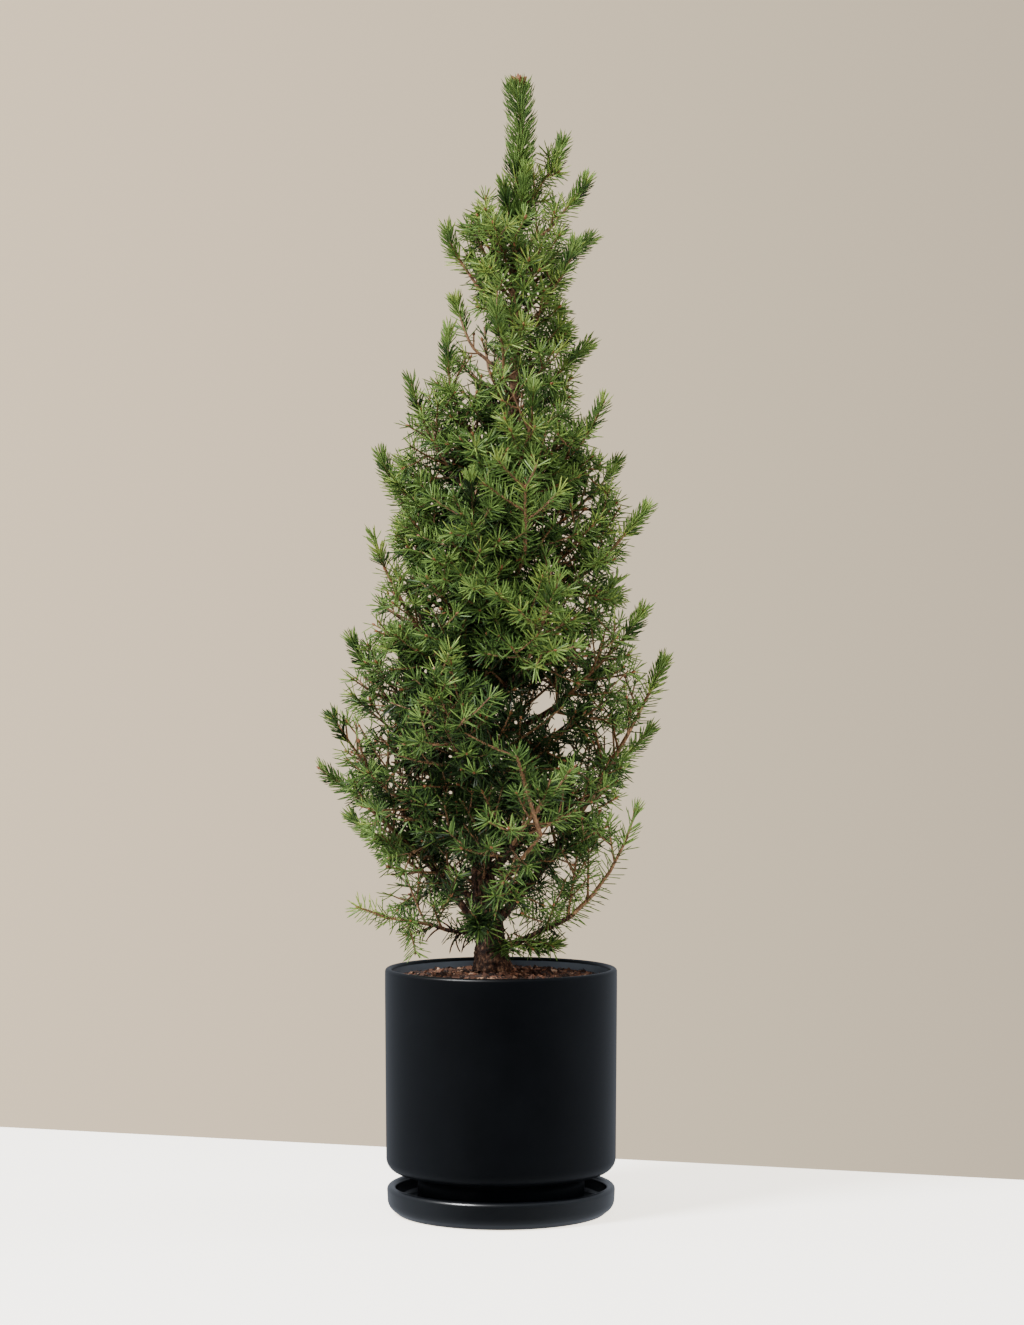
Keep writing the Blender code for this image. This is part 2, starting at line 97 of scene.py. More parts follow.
# The source's limbs, in its order: height at the trunk, azimuth, tip's distance from the axis, tip's
# height, bow below the chord as a share of the length, bare share. In millimetres and degrees. The first
# is the lowest spur at the left.
LIMBS = (
    # left
    (264, 206, 151, 294, 0.03, 0.4), (250, 175, 178, 422, -0.05, 0.45), (292, 155, 163, 373, 0.05, 0.34),
    (335, 192, 163, 472, 0.07, 0.26), (405, 163, 152, 546, 0.08, 0.26), (485, 199, 126, 642, 0.09, 0.0),
    (580, 166, 120, 722, 0.09, 0.0), (655, 194, 88, 789, 0.1, 0.0), (712, 214, 57, 836, 0.2, 0.0),
    (785, 168, 45, 868, 0.12, 0.0), (852, 190, 53, 934, 0.12, 0.0),
    # right
    (250, 18, 58, 252, 0.02, 0.0), (249, 342, 133, 386, 0.16, 0.46), (266, 4, 157, 525, 0.04, 0.45),
    (338, 24, 160, 458, 0.07, 0.26), (440, 344, 140, 572, 0.08, 0.26), (505, 31, 136, 606, 0.08, 0.0),
    (570, 350, 140, 668, 0.11, 0.26), (625, 24, 124, 716, 0.09, 0.0), (678, 340, 104, 768, 0.12, 0.0),
    (772, 12, 87, 826, 0.06, 0.0), (830, 338, 76, 916, 0.08, 0.0), (872, 18, 92, 928, 0.06, 0.0),
    (908, 352, 83, 979, 0.08, 0.0), (946, 8, 60, 1018, 0.08, 0.0),
    # front
    (288, 256, 88, 272, -0.04, 0.0), (322, 288, 150, 418, 0.07, 0.26), (392, 246, 150, 512, 0.08, 0.26),
    (478, 294, 134, 602, 0.09, 0.0), (568, 256, 116, 692, 0.09, 0.0), (660, 290, 90, 776, 0.1, 0.0),
    (762, 266, 60, 856, 0.1, 0.0),
    # back
    (262, 98, 137, 330, 0.05, 0.36), (312, 66, 156, 424, 0.07, 0.26), (382, 114, 152, 514, 0.08, 0.26),
    (466, 82, 136, 594, 0.09, 0.0), (556, 118, 116, 684, 0.09, 0.0), (652, 72, 92, 772, 0.1, 0.0),
    (748, 106, 62, 850, 0.1, 0.0),
)

# The crown's height, reach on the left and on the right, in millimetres.
CROWN_OUTLINE = (
    (230, 80, 58), (285, 128, 85), (340, 132, 122), (400, 164, 128), (450, 171, 145),
    (500, 164, 150), (545, 149, 137), (600, 120, 128), (660, 117, 134), (700, 116, 116),
    (740, 108, 98), (780, 82, 86), (820, 58, 80), (860, 43, 72), (900, 47, 76),
    (930, 51, 84), (970, 22, 79), (1010, 4, 62), (1035, 0, 50),
)

LIMB_ROOT_RADIUS = 0.0009
LIMB_RADIUS_PER_LENGTH = 0.0125
LIMB_TIP_SHARE = 0.25
GOLDEN_ANGLE = math.radians(137.508)

GROWTH_SEED = 11
LIMB_WIGGLE = 0.0022
BARE_KEPT = 0.52
BARK_STOP = 0.45
BARE_BARK_STOP = 0.44
NEEDLE_ROOM = 0.0125
SIDE_NOTCH = 0.05
BRANCH_SPACING = 0.0084
BRANCH_LONGEST = 0.074
BRANCH_SHORTEST = 0.028
BRANCH_LIMB_START = 0.068
BRANCH_PER_LIMB = 0.62
BRANCH_LEAST = 0.015
BRANCH_LEAN = (math.radians(58), math.radians(38))
BRANCH_SIZES = (0.72, 1.12)
BRANCH_BARE = 0.08
BRANCHES_END = 0.96
TWIG_SPACING = 0.0132
TWIG_FIRST = 0.012
TWIG_LONGEST = 0.048
TWIG_SHORTEST = 0.027
TWIG_LEAN = math.radians(46)
TWIG_SIZES = (0.75, 1.15)
TWIG_RADII = (0.0009, 0.0007)
TWIG_BARE = 0.1
UPWARD_PULL = 0.26
SHORTEST_KEPT = 0.013
LOWEST_SHOOT = 0.252

# Short inner shoots on the trunk, between the limbs.
INNER_FOOT = 0.3
INNER_TOP = 0.905
INNER_SPACING = 0.0072
INNER_SHARE = (0.45, 0.92)
INNER_LONGEST = 0.12
INNER_LEAN = math.radians(62)

LOWEST_NEEDLE = 0.2395
BOX_MARGIN = 0.001

NEEDLES_PER_METRE = 1080
INNER_BELOW = 0.35
INNER_DENSITY = 0.55
TIPWARD = 0.66
TUFT_NEEDLES = 10
TUFT_STRETCH = 0.004
TUFT_LIFT = 0.08
NEEDLE_LENGTH = 0.016
NEEDLE_WIDTH = 0.00116
NEEDLE_TAPER = 0.8
NEEDLE_LEAN = (math.radians(70), math.radians(62))
TUFT_LEAN = (math.radians(58), math.radians(22))

# The limbs' ends are close brushes of shorter needles.
BRUSH_LENGTH = 0.034
BRUSH_RADII = (0.0014, 0.001)
BRUSH_LEAN = (math.radians(54), math.radians(28))
NEEDLES_PER_PIECE = 22000
BUDDED = 0.6
BUD_SIZES = (0.8, 1.25)
CROWN_BUDS = 5
CROWN_BUD_SIZE = 2.5

# Orders of shoots: 0 the leader, 1 a limb, 2 a branch, 3 a twig, and these.
BRUSH_ORDER = 4
HANGING_ORDER = 5
IN_FRONT_ORDER = 6
# order: needles on a metre, needles' length as a share, lift of the tint (a shift of the painted shade:
# below nought darker, above lighter), curl
STYLES = {
    BRUSH_ORDER: (3600, 0.78, -0.22, 0.24),
    HANGING_ORDER: (NEEDLES_PER_METRE, 1.0, 0.16, 0.0),
    IN_FRONT_ORDER: (1150, 1.0, -0.04, 0.0),
}

LEADER_TOP = 1.068
LEADER_ROOT = 0.003
LEADER_STRETCH = 0.03
# foot, top, needles on a metre, lean, needles' length as a share, score for the tint (its painted shade,
# lower is darker), curl
LEADER_BRUSHES = (
    (0.73, 0.905, 1500, math.radians(64), 0.95, 0.58, 0.04),
    (0.9, 1.0, 2500, math.radians(48), 1.15, 0.84, 0.2),
    (0.976, 1.06, 4300, math.radians(66), 1.0, 0.62, 0.66),
    (1.052, LEADER_TOP, 6500, math.radians(56), 0.86, 0.92, 0.5),
)

# Single shoots of the trunk that stand out of the crown: height they leave at, azimuth, tip's distance
# from the axis, tip's height. In millimetres and degrees.
SPURS = (
    (898, 205, 34, 958), (846, 340, 72, 896), (796, 10, 66, 846), (880, 262, 50, 930),
    (842, 300, 52, 896), (862, 232, 46, 905), (820, 95, 50, 880), (868, 70, 48, 925),
    (620, 285, 88, 690), (655, 303, 80, 720), (530, 262, 100, 600), (545, 240, 96, 618),
    (500, 290, 105, 560), (560, 185, 98, 642), (600, 176, 98, 690), (575, 206, 96, 658),
    (410, 352, 135, 510), (440, 8, 132, 535), (480, 236, 108, 566), (430, 184, 142, 533),
    (398, 175, 152, 496), (455, 190, 130, 574), (535, 355, 102, 664), (878, 190, 42, 962),
    (854, 322, 48, 912), (600, 288, 94, 665), (585, 302, 92, 648), (560, 332, 102, 655),
    (866, 204, 44, 950),
)

# Close upright brushes beside the leader: their ends in the frame.
UPRIGHT = (
    ((0.013, 0.0, 0.915), (0.003, -0.011, 0.97)),
    ((0.013, 0.0, 0.92), (0.024, -0.012, 0.985)),
    ((0.014, 0.0, 0.925), (0.03, 0.006, 0.964)),
)

# Twigs that hang by the foot, whose needles are lifted out of the painted shade as if lit: their ends in
# the frame.
HANGING = (
    ((-0.0868, -0.0404, 0.276), (-0.079, -0.044, 0.2475)),
    ((-0.01, -0.012, 0.292), (-0.0125, -0.048, 0.269)),
    ((-0.006, -0.013, 0.282), (-0.024, -0.042, 0.272)),
    ((-0.004, -0.014, 0.264), (0.001, -0.038, 0.25)),
    ((0.006, -0.013, 0.264), (0.011, -0.038, 0.251)),
    ((0.012, -0.008, 0.264), (0.029, -0.028, 0.252)),
    ((0.03, -0.006, 0.256), (0.048, -0.022, 0.253)),
)

# Stout shoots that stand in front of the crown: foot, tip, radius at the foot, share without needles.
IN_FRONT = (
    ((0.004, -0.004, 0.575), (0.0225, -0.09, 0.622), 0.0024, 0.75),
    ((0.0225, -0.09, 0.622), (0.0226, -0.105, 0.679), 0.0021, 0.0),
    ((0.0226, -0.105, 0.679), (-0.0042, -0.11, 0.706), 0.0014, 0.0),
    ((0.0226, -0.105, 0.679), (0.033, -0.108, 0.701), 0.0013, 0.0),
    ((0.0224, -0.0995, 0.6583), (-0.013, -0.112, 0.682), 0.0014, 0.0),
    ((0.0224, -0.0975, 0.649), (0.0536, -0.105, 0.676), 0.0014, 0.0),
    ((-0.01, -0.005, 0.3), (0.0365, -0.106, 0.362), 0.0024, 0.8),
    ((0.0365, -0.106, 0.362), (0.0145, -0.124, 0.436), 0.0022, 0.66),
    ((0.015, -0.1235, 0.434), (-0.033, -0.121, 0.456), 0.0013, 0.1),
)

# Dead twigs on the lowest spur at the left: share along it, then their bends and ends from there.
DEAD_TWIGS = (
    (0.14, (-0.006, -0.007, -0.003), (-0.009, -0.01, -0.02)),
    (0.19, (-0.012, -0.002, -0.004), (-0.014, -0.004, -0.021)),
    (0.24, (-0.004, -0.008, -0.009), (0.003, -0.011, -0.019)),
    (0.27, (-0.012, -0.003, 0.014), (-0.028, -0.006, 0.011)),
    (0.36, (-0.009, -0.004, -0.003), (-0.014, -0.005, -0.013)),
    (0.42, (-0.016, -0.004, 0.004), (-0.03, -0.01, -0.004)),
)
# Dead twigs on the trunk: height they leave at, then their bends and ends from the axis there.
DEAD_ON_TRUNK = (
    (0.276, (0.0, -0.024, 0.004), (-0.013, -0.034, -0.016)),
    (0.306, (-0.014, -0.014, 0.004), (-0.026, -0.02, -0.006)),
    (0.262, (-0.018, -0.006, 0.0), (-0.026, -0.012, -0.013)),
)
DEAD_TWIG_RADIUS = 0.001

# Gaps in the crown through which the backdrop shows: sideways place, height, radius, as seen from the
# front by the camera. In millimetres.
SKY_GAPS = (
    (41, 480, 9), (54, 466, 6), (62, 437, 6), (89, 537, 3), (118, 449, 4),
    (-126, 465, 5), (-12, 832, 7), (-17, 804, 9), (-32, 782, 5), (-50, 262, 10),
    (-64, 258, 6),
)
SKY_GAP_MARGIN = 0.001
# Where the trunk shows between its shoots, in the same terms but in metres.
TRUNK_SEEN = (
    (0.0125, 0.793, 0.005), (0.012, 0.782, 0.0044),
    (0.012, 0.771, 0.005), (0.011, 0.759, 0.004),
)
# A gap is made of parts, scattered along the rise of the boughs, with needles across their edges.
SKY_GAP_PARTS = 7
SKY_GAP_SCATTER = 0.3
SKY_GAP_ALONG = 0.5
SKY_GAP_PART = (0.22, 0.5)
SKY_GAP_EDGE = (0.45, 1.3)

# Patches where the backdrop glints between the needles: sideways place, height, half width, half height,
# number of clusters of glints, as seen from the front by the camera. In millimetres.
GLINT_PATCHES = (
    (-60, 330, 70, 40, 14), (60, 330, 70, 50, 14), (-90, 440, 60, 50, 14), (100, 420, 55, 60, 14),
    (80, 540, 60, 50, 16), (-100, 540, 50, 50, 12), (-70, 640, 50, 50, 6), (75, 640, 50, 50, 14),
    (0, 560, 90, 120, 18), (-40, 760, 50, 50, 14), (60, 740, 50, 50, 12), (10, 810, 50, 60, 14),
    (20, 900, 60, 50, 12), (48, 724, 6, 6, 3), (117, 499, 7, 9, 4), (104, 451, 7, 9, 4),
    (87, 380, 6, 8, 3), (63, 327, 7, 7, 3), (-120, 555, 5, 6, 3), (-136, 499, 6, 6, 3),
    (-138, 440, 7, 8, 4), (-102, 428, 6, 7, 3), (-31, 890, 5, 7, 3), (-20, 815, 14, 20, 8),
    (-125, 485, 30, 30, 9), (-118, 405, 28, 40, 13), (-85, 345, 30, 30, 8), (-64, 300, 30, 20, 6),
    (75, 520, 32, 60, 12), (85, 420, 40, 50, 15), (60, 360, 30, 30, 9), (38, 375, 18, 30, 6),
    (100, 345, 26, 30, 6), (-100, 600, 20, 50, 6), (85, 640, 30, 40, 7), (-30, 700, 30, 30, 4),
)
GLINTS_TOGETHER = 9
GLINT_SCATTER = 0.0052
GLINT_RADIUS = (0.0003, 0.001)

# ---- camera ----

CAMERA_PLACE = (0.0104, -2.9, 0.52)
FRAME_HEIGHT = 1.256
SENSOR = 36.0


def make_camera():
    data = bpy.data.cameras.new("camera")
    data.sensor_width = SENSOR
    data.lens = SENSOR * -CAMERA_PLACE[1] / FRAME_HEIGHT
    data.clip_end = 50
    camera = bpy.data.objects.new("camera", data)
    camera.location = CAMERA_PLACE
    camera.rotation_euler = (math.radians(90), 0, 0)
    bpy.context.scene.collection.objects.link(camera)
    bpy.context.scene.camera = camera


# ---- materials ----


def fill(tree, node, **inputs):
    """Sets or links a node's inputs. In their names _ stands for a space."""
    for name, value in inputs.items():
        socket = node.inputs[name.replace("_", " ")]
        if isinstance(value, bpy.types.NodeSocket):
            tree.links.new(value, socket)
        else:
            socket.default_value = value
    return node


def add_node(tree, kind, **inputs):
    return fill(tree, tree.nodes.new("ShaderNode" + kind), **inputs)


def new_material(name, roughness, colour):
    material = bpy.data.materials.new(name)
    material.use_nodes = True
    tree = material.node_tree
    shader = fill(tree, tree.nodes["Principled BSDF"], Base_Color=(*colour, 1), Roughness=roughness)
    return material, tree, shader


def add_noise(tree, scale, detail, roughness=0.6, stretch=(1, 1, 1)):
    where = add_node(tree, "TexCoord").outputs["Object"]
    where = add_node(tree, "Mapping", Vector=where, Scale=stretch).outputs["Vector"]
    pattern = add_node(tree, "TexNoise", Vector=where, Scale=scale, Detail=detail, Roughness=roughness)
    return pattern.outputs["Fac"]


def add_ramp(tree, value, stops):
    ramp = add_node(tree, "ValToRGB", Fac=value)
    elements = ramp.color_ramp.elements
    for number, (place, _) in enumerate(stops):
        if number > 1:
            elements.new(place)
        elements[number].position = place
    for element, (_, colour) in zip(elements, stops):
        element.color = (*colour, 1)
    return ramp.outputs["Color"]


def add_bump(tree, shader, height, distance, strength=1.0):
    bump = add_node(tree, "Bump", Height=height, Distance=distance, Strength=strength)
    fill(tree, shader, Normal=bump.outputs["Normal"])


def add_range(tree, value, **limits):
    return add_node(tree, "MapRange", Value=value, **limits).outputs["Result"]


# dark, light, low and high roughness, specular
POT_GLAZE = ((0.0005, 0.0007, 0.0011), (0.001, 0.0014, 0.0021), 0.35, 0.41, 0.22)
# The saucer's glaze is glossier than the pot's, and its lighter base is a painted reflection of the table.
SAUCER_GLAZE_PAINTED_REFLECTION = ((0.0016, 0.002, 0.0027), (0.0026, 0.0032, 0.0041), 0.26, 0.32, 0.56)
# The pot's inner wall: the same glaze with a far lighter base, a painted sheen of light.
INSIDE_GLAZE_PAINTED_LIGHT = ((0.056, 0.066, 0.08), (0.084, 0.098, 0.116), 0.5, 0.6, 0.5)


def glaze_material(name, dark, light, smoothest, roughest, specular):
    material, tree, shader = new_material(name, roughest, light)
    cloud = add_noise(tree, 14, 5)
    tone = add_ramp(tree, cloud, ((0.3, dark), (0.72, light)))
    rough = add_range(tree, cloud, To_Min=smoothest, To_Max=roughest)
    fill(tree, shader, Base_Color=tone, Roughness=rough, Specular_IOR_Level=specular)
    add_bump(tree, shader, add_noise(tree, 900, 2), 0.00006, 0.5)
    return material


BARK_OLD = (
    (0.38, (0.003, 0.0015, 0.001)),
    (0.48, (0.022, 0.01, 0.006)),
    (0.55, (0.07, 0.032, 0.017)),
    (0.63, (0.19, 0.104, 0.058)),
)
BARK_YOUNG = (
    (0.32, (0.04, 0.018, 0.009)),
    (0.46, (0.1, 0.048, 0.022)),
    (0.58, (0.19, 0.1, 0.046)),
    (0.72, (0.3, 0.18, 0.09)),
)
BARK_OLD_BELOW = 0.62
BARK_YOUNG_ABOVE = 0.9


def bark_material():
    """Dark scaly bark at the foot that grows into the orange-brown of young wood near the top."""
    material, tree, shader = new_material("brown_bark", 0.9, (0.08, 0.05, 0.035))
    grain = add_noise(tree, 210, 8, 0.72, (1.7, 1.7, 0.7))
    where = add_node(tree, "SeparateXYZ", Vector=add_node(tree, "TexCoord").outputs["Object"])
    rise = add_range(tree, where.outputs["Z"], From_Min=BARK_OLD_BELOW, From_Max=BARK_YOUNG_ABOVE)
    blend = add_node(tree, "Mix")
    blend.data_type = "RGBA"
    fill(tree, blend, Factor=rise, A=add_ramp(tree, grain, BARK_OLD), B=add_ramp(tree, grain, BARK_YOUNG))
    fill(tree, shader, Base_Color=blend.outputs["Result"])
    add_bump(tree, shader, grain, 0.0014)
    return material


TWIG_BARK = ((0.3, (0.05, 0.023, 0.01)), (0.52, (0.124, 0.061, 0.025)), (0.72, (0.28, 0.156, 0.07)))
NEEDLE_SPECULAR = 0.2


def grained(name, roughness, stops, scale, detail, fineness=0.6, bump=0.0, specular=0.5):
    """A surface whose base colour and relief follow one noise."""
    material, tree, shader = new_material(name, roughness, stops[-1][1])
    grain = add_noise(tree, scale, detail, fineness)
    fill(tree, shader, Base_Color=add_ramp(tree, grain, stops), Specular_IOR_Level=specular)
    if bump:
        add_bump(tree, shader, grain, bump)
    return material


def fine_material(name, dark, light, roughness):
    return grained(name, roughness, ((0.34, dark), (0.68, light)), 260, 6, 0.7, 0.0008)


# ---- meshes ----


def add_mesh(name, points, faces, material, smooth=True):
    """One object from an array of points and an array of faces, all with as many corners."""
    points = np.ascontiguousarray(points, np.float32).reshape(-1, 3)
    mesh = bpy.data.meshes.new(name)
    mesh.vertices.add(len(points))
    mesh.vertices.foreach_set("co", points.ravel())
    mesh.loops.add(faces.size)
    mesh.loops.foreach_set("vertex_index", np.ascontiguousarray(faces, np.int32).ravel())
    mesh.polygons.add(len(faces))
    mesh.polygons.foreach_set("loop_start", np.arange(0, faces.size, faces.shape[1], dtype=np.int32))
    mesh.polygons.foreach_set("use_smooth", np.full(len(faces), smooth))
    mesh.update(calc_edges=True)
    mesh.materials.append(material)
    piece = bpy.data.objects.new(name, mesh)
    bpy.context.scene.collection.objects.link(piece)
    return piece


def place(piece, slot, *nodes):
    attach(piece, "root")
    if nodes:
        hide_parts(*nodes)


def grid_faces(rows, columns):
    """Quads of a tube's skin: rows of rings, each with as many columns, closed round."""
    ring, corner = np.meshgrid(np.arange(rows - 1), np.arange(columns), indexing="ij")
    here = ring * columns + corner
    turn = ring * columns + (corner + 1) % columns
    return np.stack([here, turn, turn + columns, here + columns], -1).reshape(-1, 4)


def repeated(faces, count, stride):
    """The faces of many copies of a small mesh of stride points."""
    starts = np.arange(count) * stride
    return (faces[None] + starts[:, None, None]).reshape(-1, faces.shape[1])


def angles_round(count):
    return np.linspace(0, 2 * math.pi, count, endpoint=False)


def unit(vectors):
    return vectors / np.linalg.norm(vectors, axis=-1, keepdims=True)


def spokes(side, up, angles):
    """Vectors square to each of many directions, one for each angle round it."""
    return side[..., None, :] * np.cos(angles)[..., None] - up[..., None, :] * np.sin(angles)[..., None]


def arc(centre, radius, start, stop, steps):
    angles = [math.radians(start + (stop - start) * k / steps) for k in range(steps + 1)]
    return [(centre[0] + radius * math.cos(a), centre[1] + radius * math.sin(a)) for a in angles]


def straight(start, stop, steps):
    """Points after start along a straight stretch of an outline, so that its faces stay short."""
    return [
        (start[0] + (stop[0] - start[0]) * k / steps, start[1] + (stop[1] - start[1]) * k / steps)
        for k in range(1, steps + 1)
    ]


NEAR_AXIS = 0.0001
TURNED_SEGMENTS = 176


def turned(name, outline, material):
    """A turned skin, whose outline starts and ends a tenth of a millimetre from the axis."""
    outline = np.array(outline)
    angles = angles_round(TURNED_SEGMENTS)
    rings = np.zeros((len(outline), TURNED_SEGMENTS, 3))
    rings[..., 0] = outline[:, :1] * np.cos(angles)
    rings[..., 1] = outline[:, :1] * np.sin(angles)
    rings[..., 2] = outline[:, 1:]
    return add_mesh(name, rings, grid_faces(len(outline), TURNED_SEGMENTS), material)


POT_SEAT_GAP = 0.0003
POT_FOOT_ROUND = 0.002


def make_pot(glaze, inside_glaze_painted_light):
    lip = POT_WALL / 2
    inside = POT_RADIUS - POT_WALL
    corner = (POT_WAIST_RADIUS - POT_CORNER, POT_UNDERSIDE + POT_CORNER)
    foot = SAUCER_FLOOR + POT_SEAT_GAP
    edge = (POT_FOOT_RADIUS - POT_FOOT_ROUND, foot + POT_FOOT_ROUND)
    shoulder = (POT_RADIUS, POT_RIM_HEIGHT - 0.02)
    outline = [(NEAR_AXIS, foot)] + straight((NEAR_AXIS, foot), (edge[0], foot), 3)
    outline += arc(edge, POT_FOOT_ROUND, -80, 0, 4)
    outline += straight((POT_FOOT_RADIUS, edge[1]), (POT_FOOT_RADIUS, POT_UNDERSIDE - 0.001), 3)
    outline += straight((POT_FOOT_RADIUS, POT_UNDERSIDE), (corner[0], POT_UNDERSIDE), 3)
    outline += arc(corner, POT_CORNER, -84, 0, 14)
    outline += straight((POT_WAIST_RADIUS, corner[1]), shoulder, 16)
    outline += straight(shoulder, (POT_RADIUS, POT_RIM_HEIGHT - lip * 1.3), 3)
    outline += arc((POT_RADIUS - lip, POT_RIM_HEIGHT - lip), lip, 8, 180, 14)
    first_inside = len(outline)
    outline += straight((inside, POT_RIM_HEIGHT - lip), (inside, POT_FLOOR), 8)
    outline += straight((inside, POT_FLOOR), (NEAR_AXIS, POT_FLOOR), 3)
    pot = turned("pot_glazed", outline, glaze)
    # The inner wall takes the lighter glaze, which is painted light.
    pot.data.materials.append(inside_glaze_painted_light)
    rows = np.repeat(np.arange(len(outline) - 1), TURNED_SEGMENTS)
    pot.data.polygons.foreach_set("material_index", (rows >= first_inside - 1).astype(np.int32))
    place(pot, "glaze", "pot")


def make_saucer(glaze):
    lip = 0.0042
    inner = SAUCER_RADIUS - 2 * lip
    hollow = 0.0045
    outline = [(NEAR_AXIS, 0.0)] + straight((NEAR_AXIS, 0.0), (SAUCER_FOOT_RADIUS - 0.004, 0.0), 3)
    outline += arc((SAUCER_FOOT_RADIUS - 0.004, 0.0022), 0.0022, -75, -40, 3)
    outline += arc((SAUCER_RADIUS - 0.0118, 0.0128), 0.0113, -48, -4, 9)
    outline += arc((SAUCER_RADIUS - lip, SAUCER_RIM_HEIGHT - lip), lip, -2, 180, 18)
    outline += straight((inner, SAUCER_RIM_HEIGHT - lip), (inner - 0.0005, SAUCER_FLOOR + 0.005), 3)
    outline += arc((inner - 0.005, SAUCER_FLOOR + hollow), hollow, -5, -90, 5)
    outline += straight((inner - 0.005, SAUCER_FLOOR), (NEAR_AXIS, SAUCER_FLOOR), 4)
    place(turned("saucer_glazed", outline, glaze), "glaze", "saucer")


# ---- potting bark ----

CHIP_SEED = 5
CHIP_COUNT = 5600
CHIP_CORNERS = 4
CHIP_SINK = 0.0042
BED_SIZE = (60, 168)
BED_LUMP = 0.0016
BED_LUMPS_PER_METRE = 130
CHIP_LENGTHS = (0.0022, 0.003, 0.003, 0.004, 0.004, 0.0052, 0.0068, 0.0095)
# name, dark, light, share of the chips
CHIP_TINTS = (
    ("dark", (0.007, 0.003, 0.002), (0.026, 0.011, 0.006), 0.42),
    ("brown", (0.028, 0.011, 0.006), (0.09, 0.038, 0.02), 0.3),
    ("russet", (0.066, 0.026, 0.014), (0.19, 0.082, 0.044), 0.18),
    ("tan", (0.17, 0.09, 0.052), (0.4, 0.24, 0.15), 0.1),
)


def soil_height(reach):
    share = min(reach / (POT_RADIUS - POT_WALL), 1)
    return SOIL_EDGE_HEIGHT + (SOIL_CROWN_HEIGHT - SOIL_EDGE_HEIGHT) * math.cos(share * math.pi / 2)


def make_bed(radius):
    """The bed under the chips: a rough top with a skirt down the inside of the pot."""
    rows, columns = BED_SIZE
    bed = np.zeros((rows + 2, columns, 3))
    for k in range(rows):
        reach = radius * max(k, 0.01) / (rows - 1)
        for j in range(columns):
            angle = 2 * math.pi * j / columns
            x, y = reach * math.cos(angle), reach * math.sin(angle)
            where = Vector((x * BED_LUMPS_PER_METRE, y * BED_LUMPS_PER_METRE, 3.1))
            lump = noise.fractal(where, 0.8, 2.1, 5)
            bed[k, j] = (x, y, soil_height(reach) - CHIP_SINK + BED_LUMP * lump)
    for k, depth in ((rows, 0.03), (rows + 1, 0.06)):
        bed[k] = bed[rows - 1]
        bed[k, :, 2] = SOIL_EDGE_HEIGHT - depth
    dirt = fine_material("potting_dirt", (0.008, 0.004, 0.003), (0.036, 0.017, 0.011), 0.95)
    place(add_mesh("potting_bed", bed, grid_faces(rows + 2, columns)[:, ::-1], dirt), "soil", "soil")


def chip_corners(rng, radius):
    """The corners of one flake of potting bark that lies on the bed."""
    reach = (radius - 0.002) * math.sqrt(rng.random())
    angle = rng.uniform(0, 2 * math.pi)
    length = rng.choice(CHIP_LENGTHS) * rng.uniform(0.75, 1.25)
    length = min(length, max(2 * (radius - reach), 0.002))
    width = length * rng.uniform(0.4, 0.85)
    thick = length * rng.uniform(0.2, 0.45)
    height = soil_height(reach) - CHIP_SINK + rng.uniform(-0.0006, 0.002)
    centre = Vector((reach * math.cos(angle), reach * math.sin(angle), height))
    turn = rng.uniform(0, math.pi)
    tilt = rng.gauss(0, 0.42)
    along = Vector((math.cos(turn) * math.cos(tilt), math.sin(turn) * math.cos(tilt), math.sin(tilt)))
    across = Vector((-math.sin(turn), math.cos(turn), rng.gauss(0, 0.42))).normalized()
    normal = along.cross(across).normalized()
    corners = []
    for side in (-1, 1):
        for j in range(CHIP_CORNERS):
            a = 2 * math.pi * j / CHIP_CORNERS + rng.uniform(-0.35, 0.35)
            swell = rng.uniform(0.7, 1.05)
            point = centre + along * (math.cos(a) * length / 2 * swell)
            point += across * (math.sin(a) * width / 2 * swell)
            corners.append(tuple(point + normal * (side * thick / 2 * rng.uniform(0.5, 1.2))))
    return corners


def make_soil():
    radius = POT_RADIUS - POT_WALL - 0.0004
    make_bed(radius)
    rng = random.Random(CHIP_SEED)
    tints = [[] for _ in CHIP_TINTS]
    weights = [tint[3] for tint in CHIP_TINTS]
    for _ in range(CHIP_COUNT):
        tints[rng.choices(range(len(CHIP_TINTS)), weights)[0]].append(chip_corners(rng, radius))
    n = CHIP_CORNERS
    sides = [(j, (j + 1) % n, n + (j + 1) % n) for j in range(n)]
    sides += [(j, n + (j + 1) % n, n + j) for j in range(n)]
    caps = [(0, j + 1, j) for j in range(1, n - 1)] + [(n, n + j, n + j + 1) for j in range(1, n - 1)]
    for (name, dark, light, _), chips in zip(CHIP_TINTS, tints):
        faces = repeated(np.array(sides + caps), len(chips), 2 * n)
        skin = fine_material("bark_chip_" + name, dark, light, 0.85)
        place(add_mesh("bark_chips_" + name, np.array(chips), faces, skin, smooth=False), "soil", "soil")


# ---- trunk and limbs ----


def smooth_station(height):
    """Sideways place, depth and radius of the trunk at a height, eased between its stations."""
    stations = np.array(TRUNK_STATIONS)
    values = [float(np.interp(height, stations[:, 0], stations[:, k])) for k in (1, 2, 3)]
    return np.array([values[0], values[1], height]), values[2]


